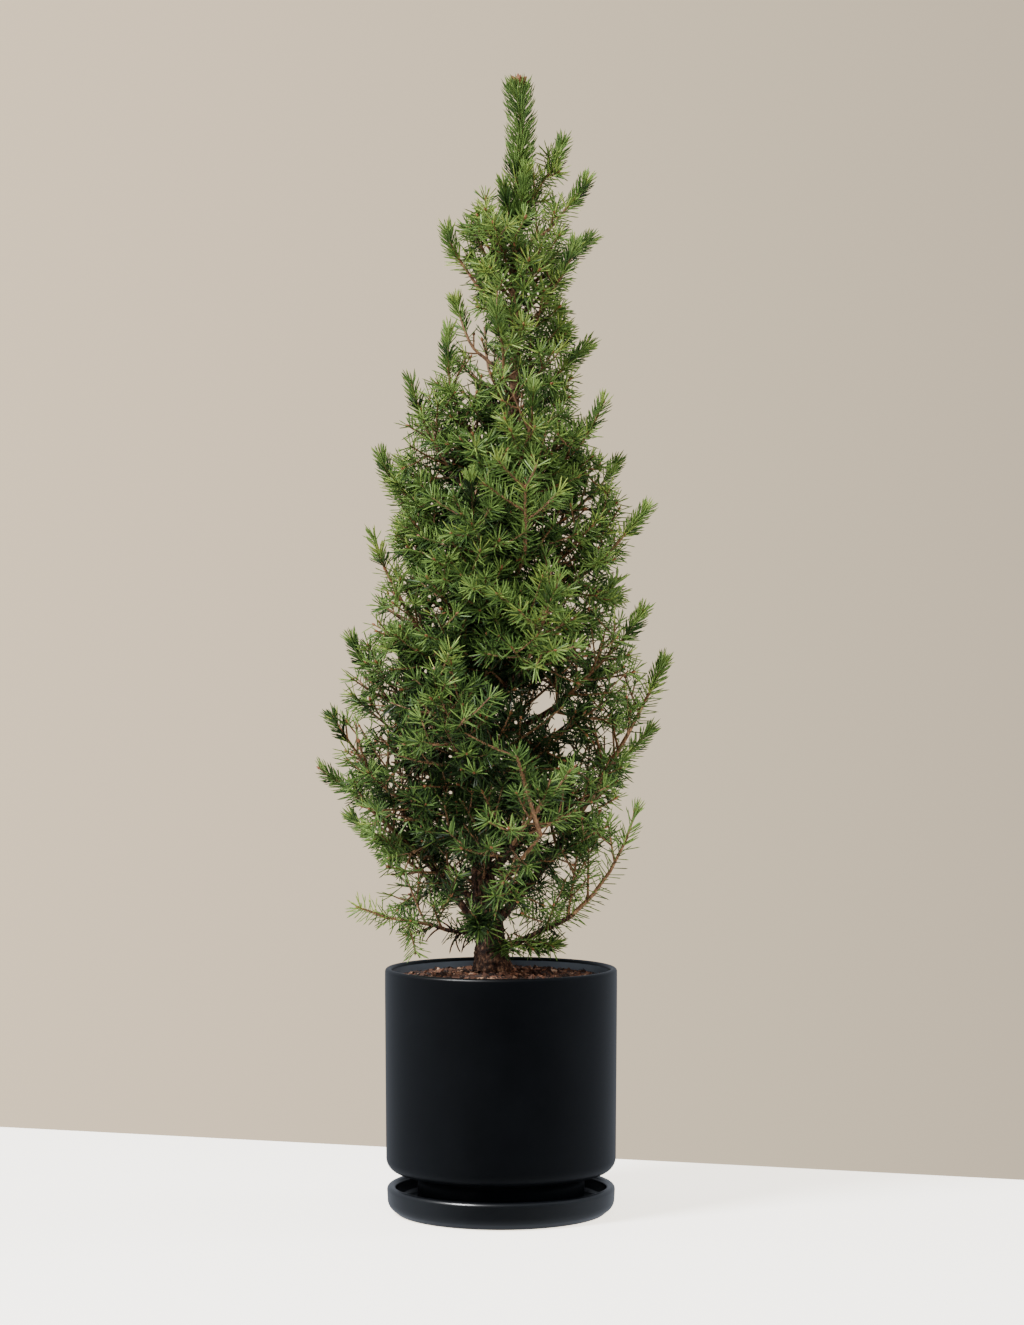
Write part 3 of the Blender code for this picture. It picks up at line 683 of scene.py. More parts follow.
class Limb:
    """One quadratic curve from the trunk's axis to a tip of the crown, with a slight wiggle."""

    def __init__(self, number, leave, azimuth, reach, tip_height, bow, bare):
        self.number, self.bare = number, bare
        angle = math.radians(azimuth)
        self.side = np.array([-math.sin(angle), math.cos(angle), 0.0])
        reach /= 1000
        self.start = smooth_station(leave / 1000)[0]
        self.end = np.array([math.cos(angle) * reach, math.sin(angle) * reach, tip_height / 1000])
        chord = Vector(self.end - self.start)
        self.length = chord.length
        below = chord.cross(chord.cross(Vector((0, 0, 1)))).normalized()
        self.middle = (self.start + self.end) / 2 + np.array(below) * (2 * bow * self.length)
        self.root_radius = LIMB_ROOT_RADIUS + LIMB_RADIUS_PER_LENGTH * self.length

    def point(self, share):
        swing = LIMB_WIGGLE * 4 * share * (1 - share)
        wave = 9.0 * share + 1.7 * self.number
        sway = self.side * (swing * math.sin(wave))
        lift = np.array([0, 0, swing * math.cos(1.4 * wave)])
        return on_curve(self.start, self.middle, self.end, share) + sway + lift

    def direction(self, share):
        ahead = self.point(min(share + 0.01, 1)) - self.point(max(share - 0.01, 0))
        return ahead / np.linalg.norm(ahead)

    def radius(self, share):
        return self.root_radius * (1 - (1 - LIMB_TIP_SHARE) * share)


def across_of(ahead):
    """Two unit vectors square to each of an array of directions."""
    side = np.cross(ahead, [0.0, 0.0, 1.0])
    flat = np.linalg.norm(side, axis=-1, keepdims=True)
    side = np.where(flat > 1e-4, side / np.maximum(flat, 1e-9), [1.0, 0.0, 0.0])
    return side, np.cross(side, ahead)


# The bark's flakes, grit and lumps: how many to a metre, and how much of each goes into the relief.
FLAKES, FLAKES_UP, GRIT, LUMPS = 330, 120, 420, 80
FLAKE_SHARE, GRIT_SHARE, LUMP_SHARE = 0.9, 0.35, 0.7


def relief_tube(centres, radii, sides, relief, seed):
    """Rings round a line of centres whose radius is roughened by noise; the tip closes to a point."""
    ahead = unit(np.gradient(centres, axis=0))
    side = np.cross(ahead, [0.0, 1.0, 0.0])
    if np.linalg.norm(side, axis=1).min() < 0.3:
        side = np.cross(ahead, [1.0, 0.0, 0.0])
    side = unit(side)
    out = spokes(side, np.cross(side, ahead), angles_round(sides))
    rough = np.zeros((len(centres), sides))
    for k in range(len(centres)):
        for j in range(sides):
            where = Vector(centres[k] + out[k, j] * radii[k])
            flake = Vector((where.x * FLAKES, where.y * FLAKES, where.z * FLAKES_UP + seed))
            furrow = 0.5 - 2 * abs(noise.noise(flake))
            grit = noise.fractal(where * GRIT + Vector((seed, 0, 0)), 0.8, 2.2, 3)
            lump = noise.noise(where * LUMPS + Vector((0, seed, 0)))
            rough[k, j] = furrow * FLAKE_SHARE + grit * GRIT_SHARE + lump * LUMP_SHARE
    reach = radii[:, None] + np.reshape(relief, (-1, 1)) * rough
    points = centres[:, None] + out * reach[..., None]
    points[-1] = centres[-1]
    return points.reshape(-1, 3), grid_faces(len(centres), sides)


BARK_FOOT = 0.229
FINE_BARK_TOP = 0.36
BARK_STEPS = (0.001, 0.0026)
FLARE, FLARE_HEIGHT = 0.001, 0.01
TRUNK_SIDES, LIMB_SIDES, DEAD_TWIG_SIDES = 72, 18, 7
TRUNK_RELIEF, LIMB_RELIEF, DEAD_TWIG_RELIEF = 0.0024, 0.0006, 0.00025


def bark_stop(limb):
    """The share of a limb up to which the bark's mesh covers it."""
    return BARE_BARK_STOP if limb.bare else BARK_STOP


def make_bark(limbs, bark, nodes):
    fine, coarse = BARK_STEPS
    heights = [np.arange(BARK_FOOT, FINE_BARK_TOP, fine), np.arange(FINE_BARK_TOP, LEADER_TOP, coarse)]
    heights = np.concatenate(heights)
    stations = [smooth_station(max(height, TRUNK_STATIONS[0][0])) for height in heights]
    centres = np.array([centre for centre, _ in stations])
    centres[:, 2] = heights
    radii = np.array([radius for _, radius in stations])
    relief = TRUNK_RELIEF * radii / radii[0] + 0.0003
    flare = FLARE * np.exp(-(heights - heights[0]) / FLARE_HEIGHT)
    parts = [relief_tube(centres, radii + flare, TRUNK_SIDES, relief, 3.0)]
    for limb in limbs:
        stop = bark_stop(limb)
        shares = np.linspace(0.01, stop, max(12, round(limb.length * stop / coarse)))
        centres = np.array([limb.point(share) for share in shares])
        radii = np.array([limb.radius(share) for share in shares])
        parts.append(relief_tube(centres, radii, LIMB_SIDES, LIMB_RELIEF, 5.0 + limb.number))
    bases = [(limbs[0].point(share), bend, tip) for share, bend, tip in DEAD_TWIGS]
    bases += [(smooth_station(height)[0], bend, tip) for height, bend, tip in DEAD_ON_TRUNK]
    shares = np.linspace(0, 1, 14)[:, None]
    radii = DEAD_TWIG_RADIUS * (1 - 0.45 * shares[:, 0])
    for number, (base, bend, tip) in enumerate(bases):
        centres = on_curve(base, base + bend, base + tip, shares)
        parts.append(relief_tube(centres, radii, DEAD_TWIG_SIDES, DEAD_TWIG_RELIEF, 60.0 + number))
    starts = np.cumsum([0] + [len(points) for points, _ in parts])
    points = np.concatenate([points for points, _ in parts])
    faces = np.concatenate([faces + start for (_, faces), start in zip(parts, starts)])
    place(add_mesh("trunk_and_boughs", points, faces, bark), "bark", *nodes)


# ---- shoots ----


def crown_reach(points):
    """How far the crown reaches at each point's height and azimuth."""
    stations = np.array(CROWN_OUTLINE) / 1000
    reach = np.hypot(points[..., 0], points[..., 1])
    left, right = (np.interp(points[..., 2], stations[:, 0], stations[:, k]) for k in (1, 2))
    return left + (right - left) * (1 + points[..., 0] / np.maximum(reach, 1e-6)) / 2


def on_curve(start, middle, end, share):
    rest = 1 - share
    return start * rest**2 + middle * (2 * rest * share) + end * share**2


def fitted(start, heading, length):
    """The farthest end of a shoot, up to length, whose needles stay inside the crown; or None."""
    while length > SHORTEST_KEPT:
        end = start + heading * length + np.array([0, 0, UPWARD_PULL * length * 0.5])
        reach = math.hypot(end[0], end[1])
        notch = 1 - SIDE_NOTCH * (end[0] / max(reach, 0.001)) ** 2
        if reach <= crown_reach(end) * notch - NEEDLE_ROOM and end[2] > LOWEST_SHOOT:
            return end
        length *= 0.88
    return None


def leaning(ahead, roll, lean):
    """A heading that leans away from a direction, to the side that roll gives."""
    side, up = across_of(ahead[None])
    out = side[0] * math.cos(roll) + up[0] * math.sin(roll)
    return ahead * math.cos(lean) + out * math.sin(lean)


def stretch_of(limb, first, last):
    """Start, middle and end of the curve that follows a stretch of a limb."""
    start, end = limb.point(first), limb.point(last)
    return start, limb.point((first + last) / 2) * 2 - (start + end) / 2, end


def grow(limbs):
    """Rows of start, middle, end, root radius, tip radius, bare share, parent, order and whether wooded."""
    rng = random.Random(GROWTH_SEED)
    shoots = []

    def add(curve, root, tip, bare, parent, order, wooded=True):
        shoots.append((*curve, root, tip, bare, parent, order, wooded))
        return len(shoots) - 1

    def add_between(foot, tip, bow, *rest):
        foot, tip = np.array(foot), np.array(tip)
        add((foot, (foot + tip) / 2 + bow, tip), *rest)

    def grow_twigs(branch, base, bend, end, length):
        for k in range(int((length * 0.9 - TWIG_FIRST) / TWIG_SPACING)):
            share = (TWIG_FIRST + (k + rng.uniform(0.2, 0.8)) * TWIG_SPACING) / length
            start = on_curve(base, bend, end, share)
            ahead = (bend - base) * (1 - share) + (end - bend) * share
            ahead = ahead / np.linalg.norm(ahead)
            roll = (k % 2) * math.pi + rng.gauss(0, 0.8)
            heading = leaning(ahead, roll, TWIG_LEAN + rng.gauss(0, 0.12))
            longest = TWIG_LONGEST + (TWIG_SHORTEST - TWIG_LONGEST) * share
            tip = fitted(start, heading, longest * rng.uniform(*TWIG_SIZES))
            if tip is not None:
                reach = float(np.linalg.norm(tip - start))
                add((start, start + heading * reach * 0.5, tip), *TWIG_RADII, TWIG_BARE, branch, 3)

    def add_branch(base, heading, longest, parent):
        end = fitted(base, heading, longest)
        if end is None:
            return
        length = float(np.linalg.norm(end - base))
        bend = base + heading * length * 0.52
        branch = add((base, bend, end), 0.0008 + 0.01 * length, 0.0008, BRANCH_BARE, parent, 2)
        grow_twigs(branch, base, bend, end, length)

    for limb in limbs:
        tip_share = 1 - 0.005 / limb.length
        joint = bark_stop(limb)
        first = limb.bare * BARE_KEPT if limb.bare else 0.014 / limb.length
        knots = np.linspace(first, joint, 3)
        for a, b in zip(knots[:-1], knots[1:]):
            add(stretch_of(limb, a, b), limb.radius(a), limb.radius(b), 0.0, -1, 1, wooded=False)
        brush = 1 - BRUSH_LENGTH / limb.length
        leader = add(stretch_of(limb, joint - 0.03, brush), limb.radius(joint), BRUSH_RADII[0], 0.0, -1, 1)
        end_order = 1 if limb is limbs[0] else BRUSH_ORDER
        add(stretch_of(limb, brush, tip_share), *BRUSH_RADII, 0.0, -1, end_order)
        branched = BRANCHES_END - first
        count = round(limb.length * branched / BRANCH_SPACING)
        roll = rng.uniform(0, 2 * math.pi)
        for k in range(count):
            along = (k + 0.5) / count
            share = first + branched * along
            roll += GOLDEN_ANGLE + rng.gauss(0, 0.25)
            lean = BRANCH_LEAN[0] + (BRANCH_LEAN[1] - BRANCH_LEAN[0]) * along + rng.gauss(0, 0.08)
            heading = leaning(limb.direction(share), roll, lean)
            longest = BRANCH_PER_LIMB * (limb.length - BRANCH_LIMB_START)
            longest = min(BRANCH_LONGEST, max(longest, BRANCH_LEAST))
            longest += (min(BRANCH_SHORTEST, longest) - longest) * along
            add_branch(limb.point(share), heading, longest * rng.uniform(*BRANCH_SIZES), leader)

    for row in SPURS:
        azimuth = math.radians(row[1])
        leave, reach, tip_height = (row[k] / 1000 for k in (0, 2, 3))
        centre = smooth_station(leave)[0]
        way = np.array([math.cos(azimuth) * reach, math.sin(azimuth) * reach, tip_height]) - centre
        way[2] -= UPWARD_PULL * np.linalg.norm(way) * 0.5
        add_branch(centre, way / np.linalg.norm(way), float(np.linalg.norm(way)), -1)
    for ends in UPRIGHT:
        add_between(*ends, (0, 0, -0.004), *BRUSH_RADII, 0.1, -1, BRUSH_ORDER)
    for ends in HANGING:
        add_between(*ends, (0, 0, 0.003), 0.001, 0.0007, 0.1, -1, HANGING_ORDER)
    for foot, tip, radius, bare in IN_FRONT:
        add_between(foot, tip, (0, -0.002, -0.002), radius, radius * 0.7, bare, -1, IN_FRONT_ORDER)

    for k in range(round((INNER_TOP - INNER_FOOT) / INNER_SPACING)):
        centre, thick = smooth_station(INNER_FOOT + k * INNER_SPACING)
        azimuth = k * GOLDEN_ANGLE + rng.gauss(0, 0.2)
        lean = INNER_LEAN + rng.gauss(0, 0.12)
        out = np.array([math.cos(azimuth), math.sin(azimuth), 0.0])
        heading = out * math.sin(lean) + np.array([0, 0, math.cos(lean)])
        longest = float(crown_reach(centre + out * 0.05)) * rng.uniform(*INNER_SHARE)
        add_branch(centre + out * thick * 0.6, heading, min(longest, INNER_LONGEST), -1)
    return shoots


def seen_from_front(points):
    """Sideways place and height at which the camera sees each point, on the plane through the axis."""
    shrink = -CAMERA_PLACE[1] / (points[..., 1] - CAMERA_PLACE[1])
    x = CAMERA_PLACE[0] + (points[..., 0] - CAMERA_PLACE[0]) * shrink
    z = CAMERA_PLACE[2] + (points[..., 2] - CAMERA_PLACE[2]) * shrink
    return x, z


def clear_of_gaps(base, tip, rng):
    """Which needles stand clear of the gaps and of the small glints of backdrop."""
    low_x, low_z = seen_from_front(base)
    tip_x, tip_z = seen_from_front(tip)
    run_x, run_z = tip_x - low_x, tip_z - low_z
    run = np.maximum(run_x**2 + run_z**2, 1e-12)
    holes = list(TRUNK_SEEN)
    for x, z, radius in np.array(SKY_GAPS) / 1000:
        scatter = rng.normal(0, SKY_GAP_SCATTER, (2, SKY_GAP_PARTS)) * radius
        rise = rng.normal(0, SKY_GAP_ALONG, SKY_GAP_PARTS) * radius
        part_x = x + scatter[0] + rise * np.sign(x)
        part_radius = radius * rng.uniform(*SKY_GAP_PART, SKY_GAP_PARTS)
        holes += zip(part_x, z + scatter[1] + rise, part_radius)
    for *patch, count in GLINT_PATCHES:
        centre_x, centre_z, half_x, half_z = np.array(patch) / 1000
        middle_x = np.repeat(centre_x + half_x * rng.uniform(-1, 1, count), GLINTS_TOGETHER)
        middle_z = np.repeat(centre_z + half_z * rng.uniform(-1, 1, count), GLINTS_TOGETHER)
        scatter = rng.normal(0, GLINT_SCATTER, (2, count * GLINTS_TOGETHER))
        radii = rng.uniform(*GLINT_RADIUS, count * GLINTS_TOGETHER)
        holes += zip(middle_x + scatter[0], middle_z + scatter[1], radii)
    edge = rng.uniform(*SKY_GAP_EDGE, len(base))
    clear = np.ones(len(base), bool)
    for x, z, radius in holes:
        along = np.clip(((x - low_x) * run_x + (z - low_z) * run_z) / run, 0, 1)
        away = np.hypot(low_x + along * run_x - x, low_z + along * run_z - z)
        clear &= away > radius * (edge if radius > GLINT_RADIUS[1] else 1)
    return clear


def arrays_of(shoots):
    """The columns of the rows of shoots, without those that cross a gap and what grows on them."""
    columns = [np.array([row[k] for row in shoots]) for k in range(9)]
    start, middle, end, _, _, _, parent, order, _ = columns
    on_limb = (order == 1) | (order == BRUSH_ORDER)
    keep = np.ones(len(start), bool)
    for share in (0.2, 0.5, 0.8, 1.0):
        x, z = seen_from_front(on_curve(start, middle, end, share))
        for gap_x, gap_z, radius in np.array(SKY_GAPS) / 1000:
            keep &= (np.hypot(x - gap_x, z - gap_z) > radius + SKY_GAP_MARGIN) | on_limb
    for k in range(len(keep)):
        if parent[k] >= 0 and not keep[parent[k]]:
            keep[k] = False
    return [column[keep] for column in columns]


TWIG_SIDES, TWIG_RINGS = 5, 4


def make_twigs(start, middle, end, root, tip, bark, masses):
    shares = np.linspace(0, 1, TWIG_RINGS)[None, :, None]
    centres = on_curve(start[:, None], middle[:, None], end[:, None], shares)
    ahead = unit((middle - start)[:, None] * (1 - shares) + (end - middle)[:, None] * shares)
    radius = root[:, None] + (tip - root)[:, None] * shares[..., 0]
    out = spokes(*across_of(ahead), angles_round(TWIG_SIDES))
    points = centres[:, :, None] + out * radius[..., None, None]
    faces = repeated(grid_faces(TWIG_RINGS, TWIG_SIDES), len(start), TWIG_SIDES * TWIG_RINGS)
    place(add_mesh("twigs", points, faces, bark), "bark", *masses)


# A bud's rings: how far along it, radius.
BUD_RINGS = ((-0.001, 0.0006), (0.0004, 0.0014), (0.002, 0.0011), (0.0036, 0.0001))
BUD_SIDES = 5


def make_buds(name, end, ahead, size, bud, masses):
    """Small pointed buds at the tips of shoots."""
    side, up = across_of(ahead)
    out = spokes(side, -up, angles_round(BUD_SIDES))
    rings = [(ahead[:, None] * along + out * radius) * size[:, None, None] for along, radius in BUD_RINGS]
    points = np.stack([end[:, None] + ring for ring in rings], 1)
    faces = grid_faces(len(rings), BUD_SIDES)[:, ::-1]
    faces = repeated(faces, len(end), BUD_SIDES * len(rings))
    place(add_mesh(name, points, faces, bud), "bark", *masses)


def crown_buds(tip, bud, masses):
    """The cluster of buds at the leader's top: one in the middle and a ring of others round it."""
    angles = angles_round(CROWN_BUDS)
    ring = unit(np.stack([np.cos(angles), np.sin(angles), np.full(CROWN_BUDS, 1.1)], 1))
    ahead = np.concatenate([ring, [[0.0, 0.0, 1.0]]])
    centres = tip + ahead * [0.0036, 0.0036, 0.0016]
    make_buds("leader_buds", centres, ahead, np.full(CROWN_BUDS + 1, CROWN_BUD_SIZE), bud, masses)


NEEDLE_SIZES = (0.86, 1.1)
NEEDLE_ROLL_SPREAD = 0.16
NEEDLE_LEAN_SPREAD = 0.085
NEEDLE_CURLS = (0.5, 1.3)
LEAST_CURLS = (0.0, 0.08)


def needles_on(start, middle, end, bare, root, counts, leans, sizes, curls, tipward, rng):
    """Base, middle and tip of every needle, its shoot, how far along it stands, and whether beneath."""
    shoot = np.repeat(np.arange(len(start)), counts)
    total = len(shoot)
    number = np.arange(total) - np.repeat(np.cumsum(counts) - counts, counts)
    share = (number + rng.uniform(0.1, 0.9, total)) / counts[shoot]
    share = share ** tipward[shoot]
    along = (bare[shoot] + (1 - bare[shoot]) * share)[:, None]
    centre = on_curve(start[shoot], middle[shoot], end[shoot], along)
    ahead = unit((middle - start)[shoot] * (1 - along) + (end - middle)[shoot] * along)
    side, up = across_of(ahead)
    roll = number * GOLDEN_ANGLE + rng.uniform(0, 2 * math.pi, len(start))[shoot]
    roll += rng.normal(0, NEEDLE_ROLL_SPREAD, total)
    out = side * np.cos(roll)[:, None] + up * np.sin(roll)[:, None]
    lean = leans[0][shoot] + (leans[1] - leans[0])[shoot] * share**1.6
    lean = (lean + rng.normal(0, NEEDLE_LEAN_SPREAD, total))[:, None]
    heading = ahead * np.cos(lean) + out * np.sin(lean)
    size = (NEEDLE_LENGTH * sizes[shoot] * rng.uniform(*NEEDLE_SIZES, total))[:, None]
    base = centre + out * (root[shoot][:, None] * 0.5)
    curl = curls[shoot] * rng.uniform(*NEEDLE_CURLS, total)
    curl = (curl + rng.uniform(*LEAST_CURLS, total))[:, None]
    bend = base + heading * size * NEEDLE_TAPER + ahead * size * curl * NEEDLE_TAPER**2
    tip = base + heading * size * 0.97 + ahead * size * curl
    under = out[:, 2] + 0.35 * heading[:, 2] < UNDER_SIDE
    return base, bend, tip, shoot, share, under


def needle_mesh(name, base, middle, tip, roll, material):
    """Three-sided needles of nine triangles, of an even width up to where they taper to the point."""
    side, up = across_of(unit(tip - base))
    out = spokes(side, up, roll[:, None] + np.array([0, 2 * math.pi / 3, 4 * math.pi / 3]))
    low = base[:, None] + out * (NEEDLE_WIDTH * 0.42)
    ring = middle[:, None] + out * (NEEDLE_WIDTH * 0.5)
    points = np.concatenate([low, ring, tip[:, None]], 1)
    pattern = []
    for j in range(3):
        turn = (j + 1) % 3
        pattern += [(j, turn, 3 + turn), (j, 3 + turn, 3 + j), (3 + j, 3 + turn, 6)]
    return add_mesh(name, points, repeated(np.array(pattern), len(base), 7), material, smooth=False)


# name, dark, light. The tints are dealt by a score that is darker deeper in the crown. This is partly the
# older needles' deeper green and partly painted shade, so deep and shade are mostly painted shade.
NEEDLE_TINTS = (
    ("young", (0.133, 0.191, 0.035), (0.246, 0.31, 0.061)),
    ("bright", (0.08, 0.14, 0.029), (0.151, 0.229, 0.051)),
    ("green", (0.047, 0.092, 0.02), (0.094, 0.158, 0.034)),
    ("deep", (0.016, 0.037, 0.009), (0.045, 0.086, 0.02)),
    ("shade", (0.004, 0.01, 0.003), (0.013, 0.027, 0.007)),
)
# Steps of the score between the tints, and the depth in the crown over which the tints darken.
TINT_STEPS = (1.08, 0.84, 0.6, 0.38)
DARK_DEPTH = 0.122
# Painted shade low down on the crown, stronger at its front. The columns are the height below which it
# starts, its strength, and how far in front of the axis the front reaches its full share.
SHADED_BELOW = 0.66
LOW_SHADE = 0.36
FRONT_DEPTH = 0.12
# Painted shade and painted light on the crown's front, where it is deeper in shade or more in the light:
# sideways place, height, radius, shade (below nought it paints light).
SHADED_PLACES = (
    (-0.022, 0.652, 0.034, 0.26),
    (0.035, 0.53, 0.034, -0.22),
    (-0.078, 0.53, 0.034, -0.16),
)
# Near the top, depth counts for less in the painted shade: where that starts, over what height, and the
# share it keeps.
TOP_FROM = 0.9
TOP_SPAN = 0.07
TOP_DEPTH_SHARE = 0.2
SPRAYS_ALONG = 5
SPRAY_SPREAD = 0.6
SPRAY_TIP_LIFT = 0.1
# Needles on the under side of a shoot take a darker tint, a painted shade. The values are where the under
# side starts and the lift of its tint.
UNDER_SIDE = -0.35
UNDER_PAINTED_SHADE = -0.14


def deal_tints(outward, lift, shoot, share, under, rng):
    """A tint for each spray, which is the upper or lower side of a fifth of a shoot. The score holds
    painted shade: darker deeper in the crown, low at the front, at SHADED_PLACES and on the under side.
    Tips are lifted towards young growth, and each spray has a random spread.
    """
    part = np.minimum((share * SPRAYS_ALONG).astype(int), SPRAYS_ALONG - 1)
    spray = (shoot * SPRAYS_ALONG + part) * 2 + under
    chance = rng.uniform(-0.5, 0.5, (int(shoot.max()) + 1) * SPRAYS_ALONG * 2)[spray]
    score = outward + lift + SPRAY_SPREAD * chance + SPRAY_TIP_LIFT * part / (SPRAYS_ALONG - 1)
    score = score + np.where(under, UNDER_PAINTED_SHADE, 0.0)
    return np.select([score > step for step in TINT_STEPS], [0, 1, 2, 3], 4)


def outwardness_with_painted_shade(points):
    """A score for the tints that holds painted shade: one at the crown's surface, less deeper inside and
    low down in front, and as SHADED_PLACES say.
    """
    depth = crown_reach(points) - np.hypot(points[:, 0], points[:, 1])
    depth *= 1 - (1 - TOP_DEPTH_SHARE) * np.clip((points[:, 2] - TOP_FROM) / TOP_SPAN, 0, 1)
    low = np.clip((SHADED_BELOW - points[:, 2]) / SHADED_BELOW, 0, 1)
    front = np.clip(-points[:, 1] / FRONT_DEPTH, 0, 1)
    shade = LOW_SHADE * low * (0.5 + front)
    for x, z, radius, darker in SHADED_PLACES:
        away = ((points[:, 0] - x) ** 2 + (points[:, 2] - z) ** 2) / radius**2
        shade += darker * np.exp(-away) * (points[:, 1] < 0)
    return 1 - depth / DARK_DEPTH - shade


def leader_rows():
    """Short stretches of the trunk's top that carry needles, and the brush that each belongs to."""
    low, high, brush = [], [], []
    for number, (foot, top, *_) in enumerate(LEADER_BRUSHES):
        knots = np.linspace(foot, top, 1 + max(1, round((top - foot) / LEADER_STRETCH)))
        points = [smooth_station(h)[0] for h in knots]
        low += points[:-1]
        high += points[1:]
        brush += [number] * (len(points) - 1)
    low, high = np.array(low), np.array(high)
    return low, (low + high) / 2, high, np.array(brush)


def make_foliage(limbs, twig_bark, bud, masses):
    rng = np.random.default_rng(GROWTH_SEED)
    start, middle, end, root, tip, bare, _, order, wood = arrays_of(grow(limbs))
    make_twigs(start[wood], middle[wood], end[wood], root[wood], tip[wood], twig_bark, masses)

    low, between, high, brush = leader_rows()
    count = len(low)
    of_leader = np.arange(len(start), len(start) + count)
    start, middle, end = (np.concatenate(pair) for pair in ((start, low), (middle, between), (end, high)))
    bare, order, wood = (np.append(column, np.zeros(count, column.dtype)) for column in (bare, order, wood))
    root = np.append(root, np.full(count, LEADER_ROOT))
    wood[-1] = True

    length = np.linalg.norm(end - start, axis=1)
    density = np.where(outwardness_with_painted_shade(end) < INNER_BELOW, INNER_DENSITY, 1.0) * NEEDLES_PER_METRE
    leans = [np.full(len(start), NEEDLE_LEAN[0]), np.where(wood, NEEDLE_LEAN[1], NEEDLE_LEAN[0])]
    tipward = np.where(order >= 2, TIPWARD, 1.0)
    sizes, lift, curls = np.ones(len(start)), np.zeros(len(start)), np.zeros(len(start))
    for kind, style in STYLES.items():
        for column, value in zip((density, sizes, lift, curls), style):
            column[order == kind] = value
    for column, value in zip((*leans, tipward), (*BRUSH_LEAN, 1.0)):
        column[order == BRUSH_ORDER] = value
    rows = np.array(LEADER_BRUSHES)[brush]
    for column, k in zip((density, *leans, sizes, curls), (2, 3, 3, 4, 6)):
        column[of_leader] = rows[:, k]
    counts = np.maximum((length * (1 - bare) * density).astype(int), 3)
    body = needles_on(start, middle, end, bare, root, counts, leans, sizes, curls, tipward, rng)
    # The needles' tints carry painted shade from the score of where they stand. The leader's score comes
    # from LEADER_BRUSHES.
    outward, shoot = outwardness_with_painted_shade(body[0]), body[3]
    on_leader = shoot >= of_leader[0]
    outward[on_leader] = rows[shoot[on_leader] - of_leader[0], 5]
    body_tint = deal_tints(outward, lift[shoot], *body[3:6], rng)

    tips = np.flatnonzero(wood)
    near = 1 - TUFT_STRETCH / length[tips]
    foot = on_curve(start[tips], middle[tips], end[tips], near[:, None])
    curve = (foot, (foot + end[tips]) / 2, end[tips])
    none, even = np.zeros(len(tips)), np.ones(len(tips))
    counts = np.full(len(tips), TUFT_NEEDLES)
    leans = [even * lean for lean in TUFT_LEAN]
    tuft = needles_on(*curve, none, root[tips] * 0.3, counts, leans, sizes[tips], curls[tips], even, rng)
    # Tufts at the tips are lifted as young growth. Those of hanging twigs take their painted light instead.
    tip_lift = np.where(order[tips] == HANGING_ORDER, lift[tips], TUFT_LIFT)
    tuft_tint = deal_tints(outwardness_with_painted_shade(tuft[0]), tip_lift[tuft[3]], *tuft[3:6], rng)

    base, mid, point = (np.concatenate([body[k], tuft[k]]) for k in range(3))
    tint = np.append(body_tint, tuft_tint)
    low, high = (np.array(corner) for corner in cad_box)
    inside = ((point > low + BOX_MARGIN) & (point < high - BOX_MARGIN)).all(1)
    inside &= point[:, 2] > LOWEST_NEEDLE
    inside &= clear_of_gaps(base, point, rng)
    base, mid, point, tint = base[inside], mid[inside], point[inside], tint[inside]
    turns = rng.uniform(0, 2 * math.pi / 3, len(base))
    for number, (name, dark, light) in enumerate(NEEDLE_TINTS):
        mine = np.flatnonzero(tint == number)
        stops = ((0.34, dark), (0.66, light))
        material = grained("needles_" + name, 0.46, stops, 45, 3, specular=NEEDLE_SPECULAR)
        for k in range(0, len(mine), NEEDLES_PER_PIECE):
            part = mine[k : k + NEEDLES_PER_PIECE]
            label = f"needles_{name}_{k // NEEDLES_PER_PIECE + 1}"
            piece = needle_mesh(label, base[part], mid[part], point[part], turns[part], material)
            place(piece, "needles", *masses)

    ahead = unit(end[tips] - middle[tips])
    budded = rng.uniform(0, 1, len(tips)) < BUDDED
    size = rng.uniform(*BUD_SIZES, int(budded.sum()))
    make_buds("buds", end[tips][budded], ahead[budded], size, bud, masses)
    crown_buds(end[-1], bud, masses)


# ---- setting ----

WALL_LEFT = (1.2337, 0.9942, 0.7039)
WALL_RIGHT = (0.8143, 0.6822, 0.5018)
WALL_SPAN = (-0.165, 0.165)
ROOM_LIGHT = (0.46, 0.5, 0.57)
ROOM_DARK = (0.02, 0.024, 0.034)
ROOM_SPAN = (-0.95, -0.1)
TABLE_BACK = 0.3434
TABLE_SLANT = -0.3226
TABLE_SPAN = 3.0
TABLE_FRONT = -0.76
TABLE_TONE = (0.85, 0.865, 0.885)
TABLE_GLOW = 2.5
TABLE_GLOW_TONE = (1.0, 0.9, 0.73)
LAMPS_AIM = (0, 0, 0.5)
# name, place, width, height, power
LAMPS = (
    ("key", (-2.3, -1.8, 3.3), 0.9, 0.9, 400),
    ("front_fill", (0.8, -3.6, 1.4), 2.6, 2.2, 110),
    ("left_side", (-2.6, 0.5, 0.9), 0.9, 2.2, 34),
    ("right_side", (2.6, 0.3, 1.4), 0.9, 1.8, 48),
)


def direction_ramp(tree, where, axis, low, high, stops):
    """A colour that changes with how far a direction points along one axis of the room."""
    split = add_node(tree, "SeparateXYZ", Vector=where)
    return add_ramp(tree, add_range(tree, split.outputs[axis], From_Min=low, From_Max=high), stops)


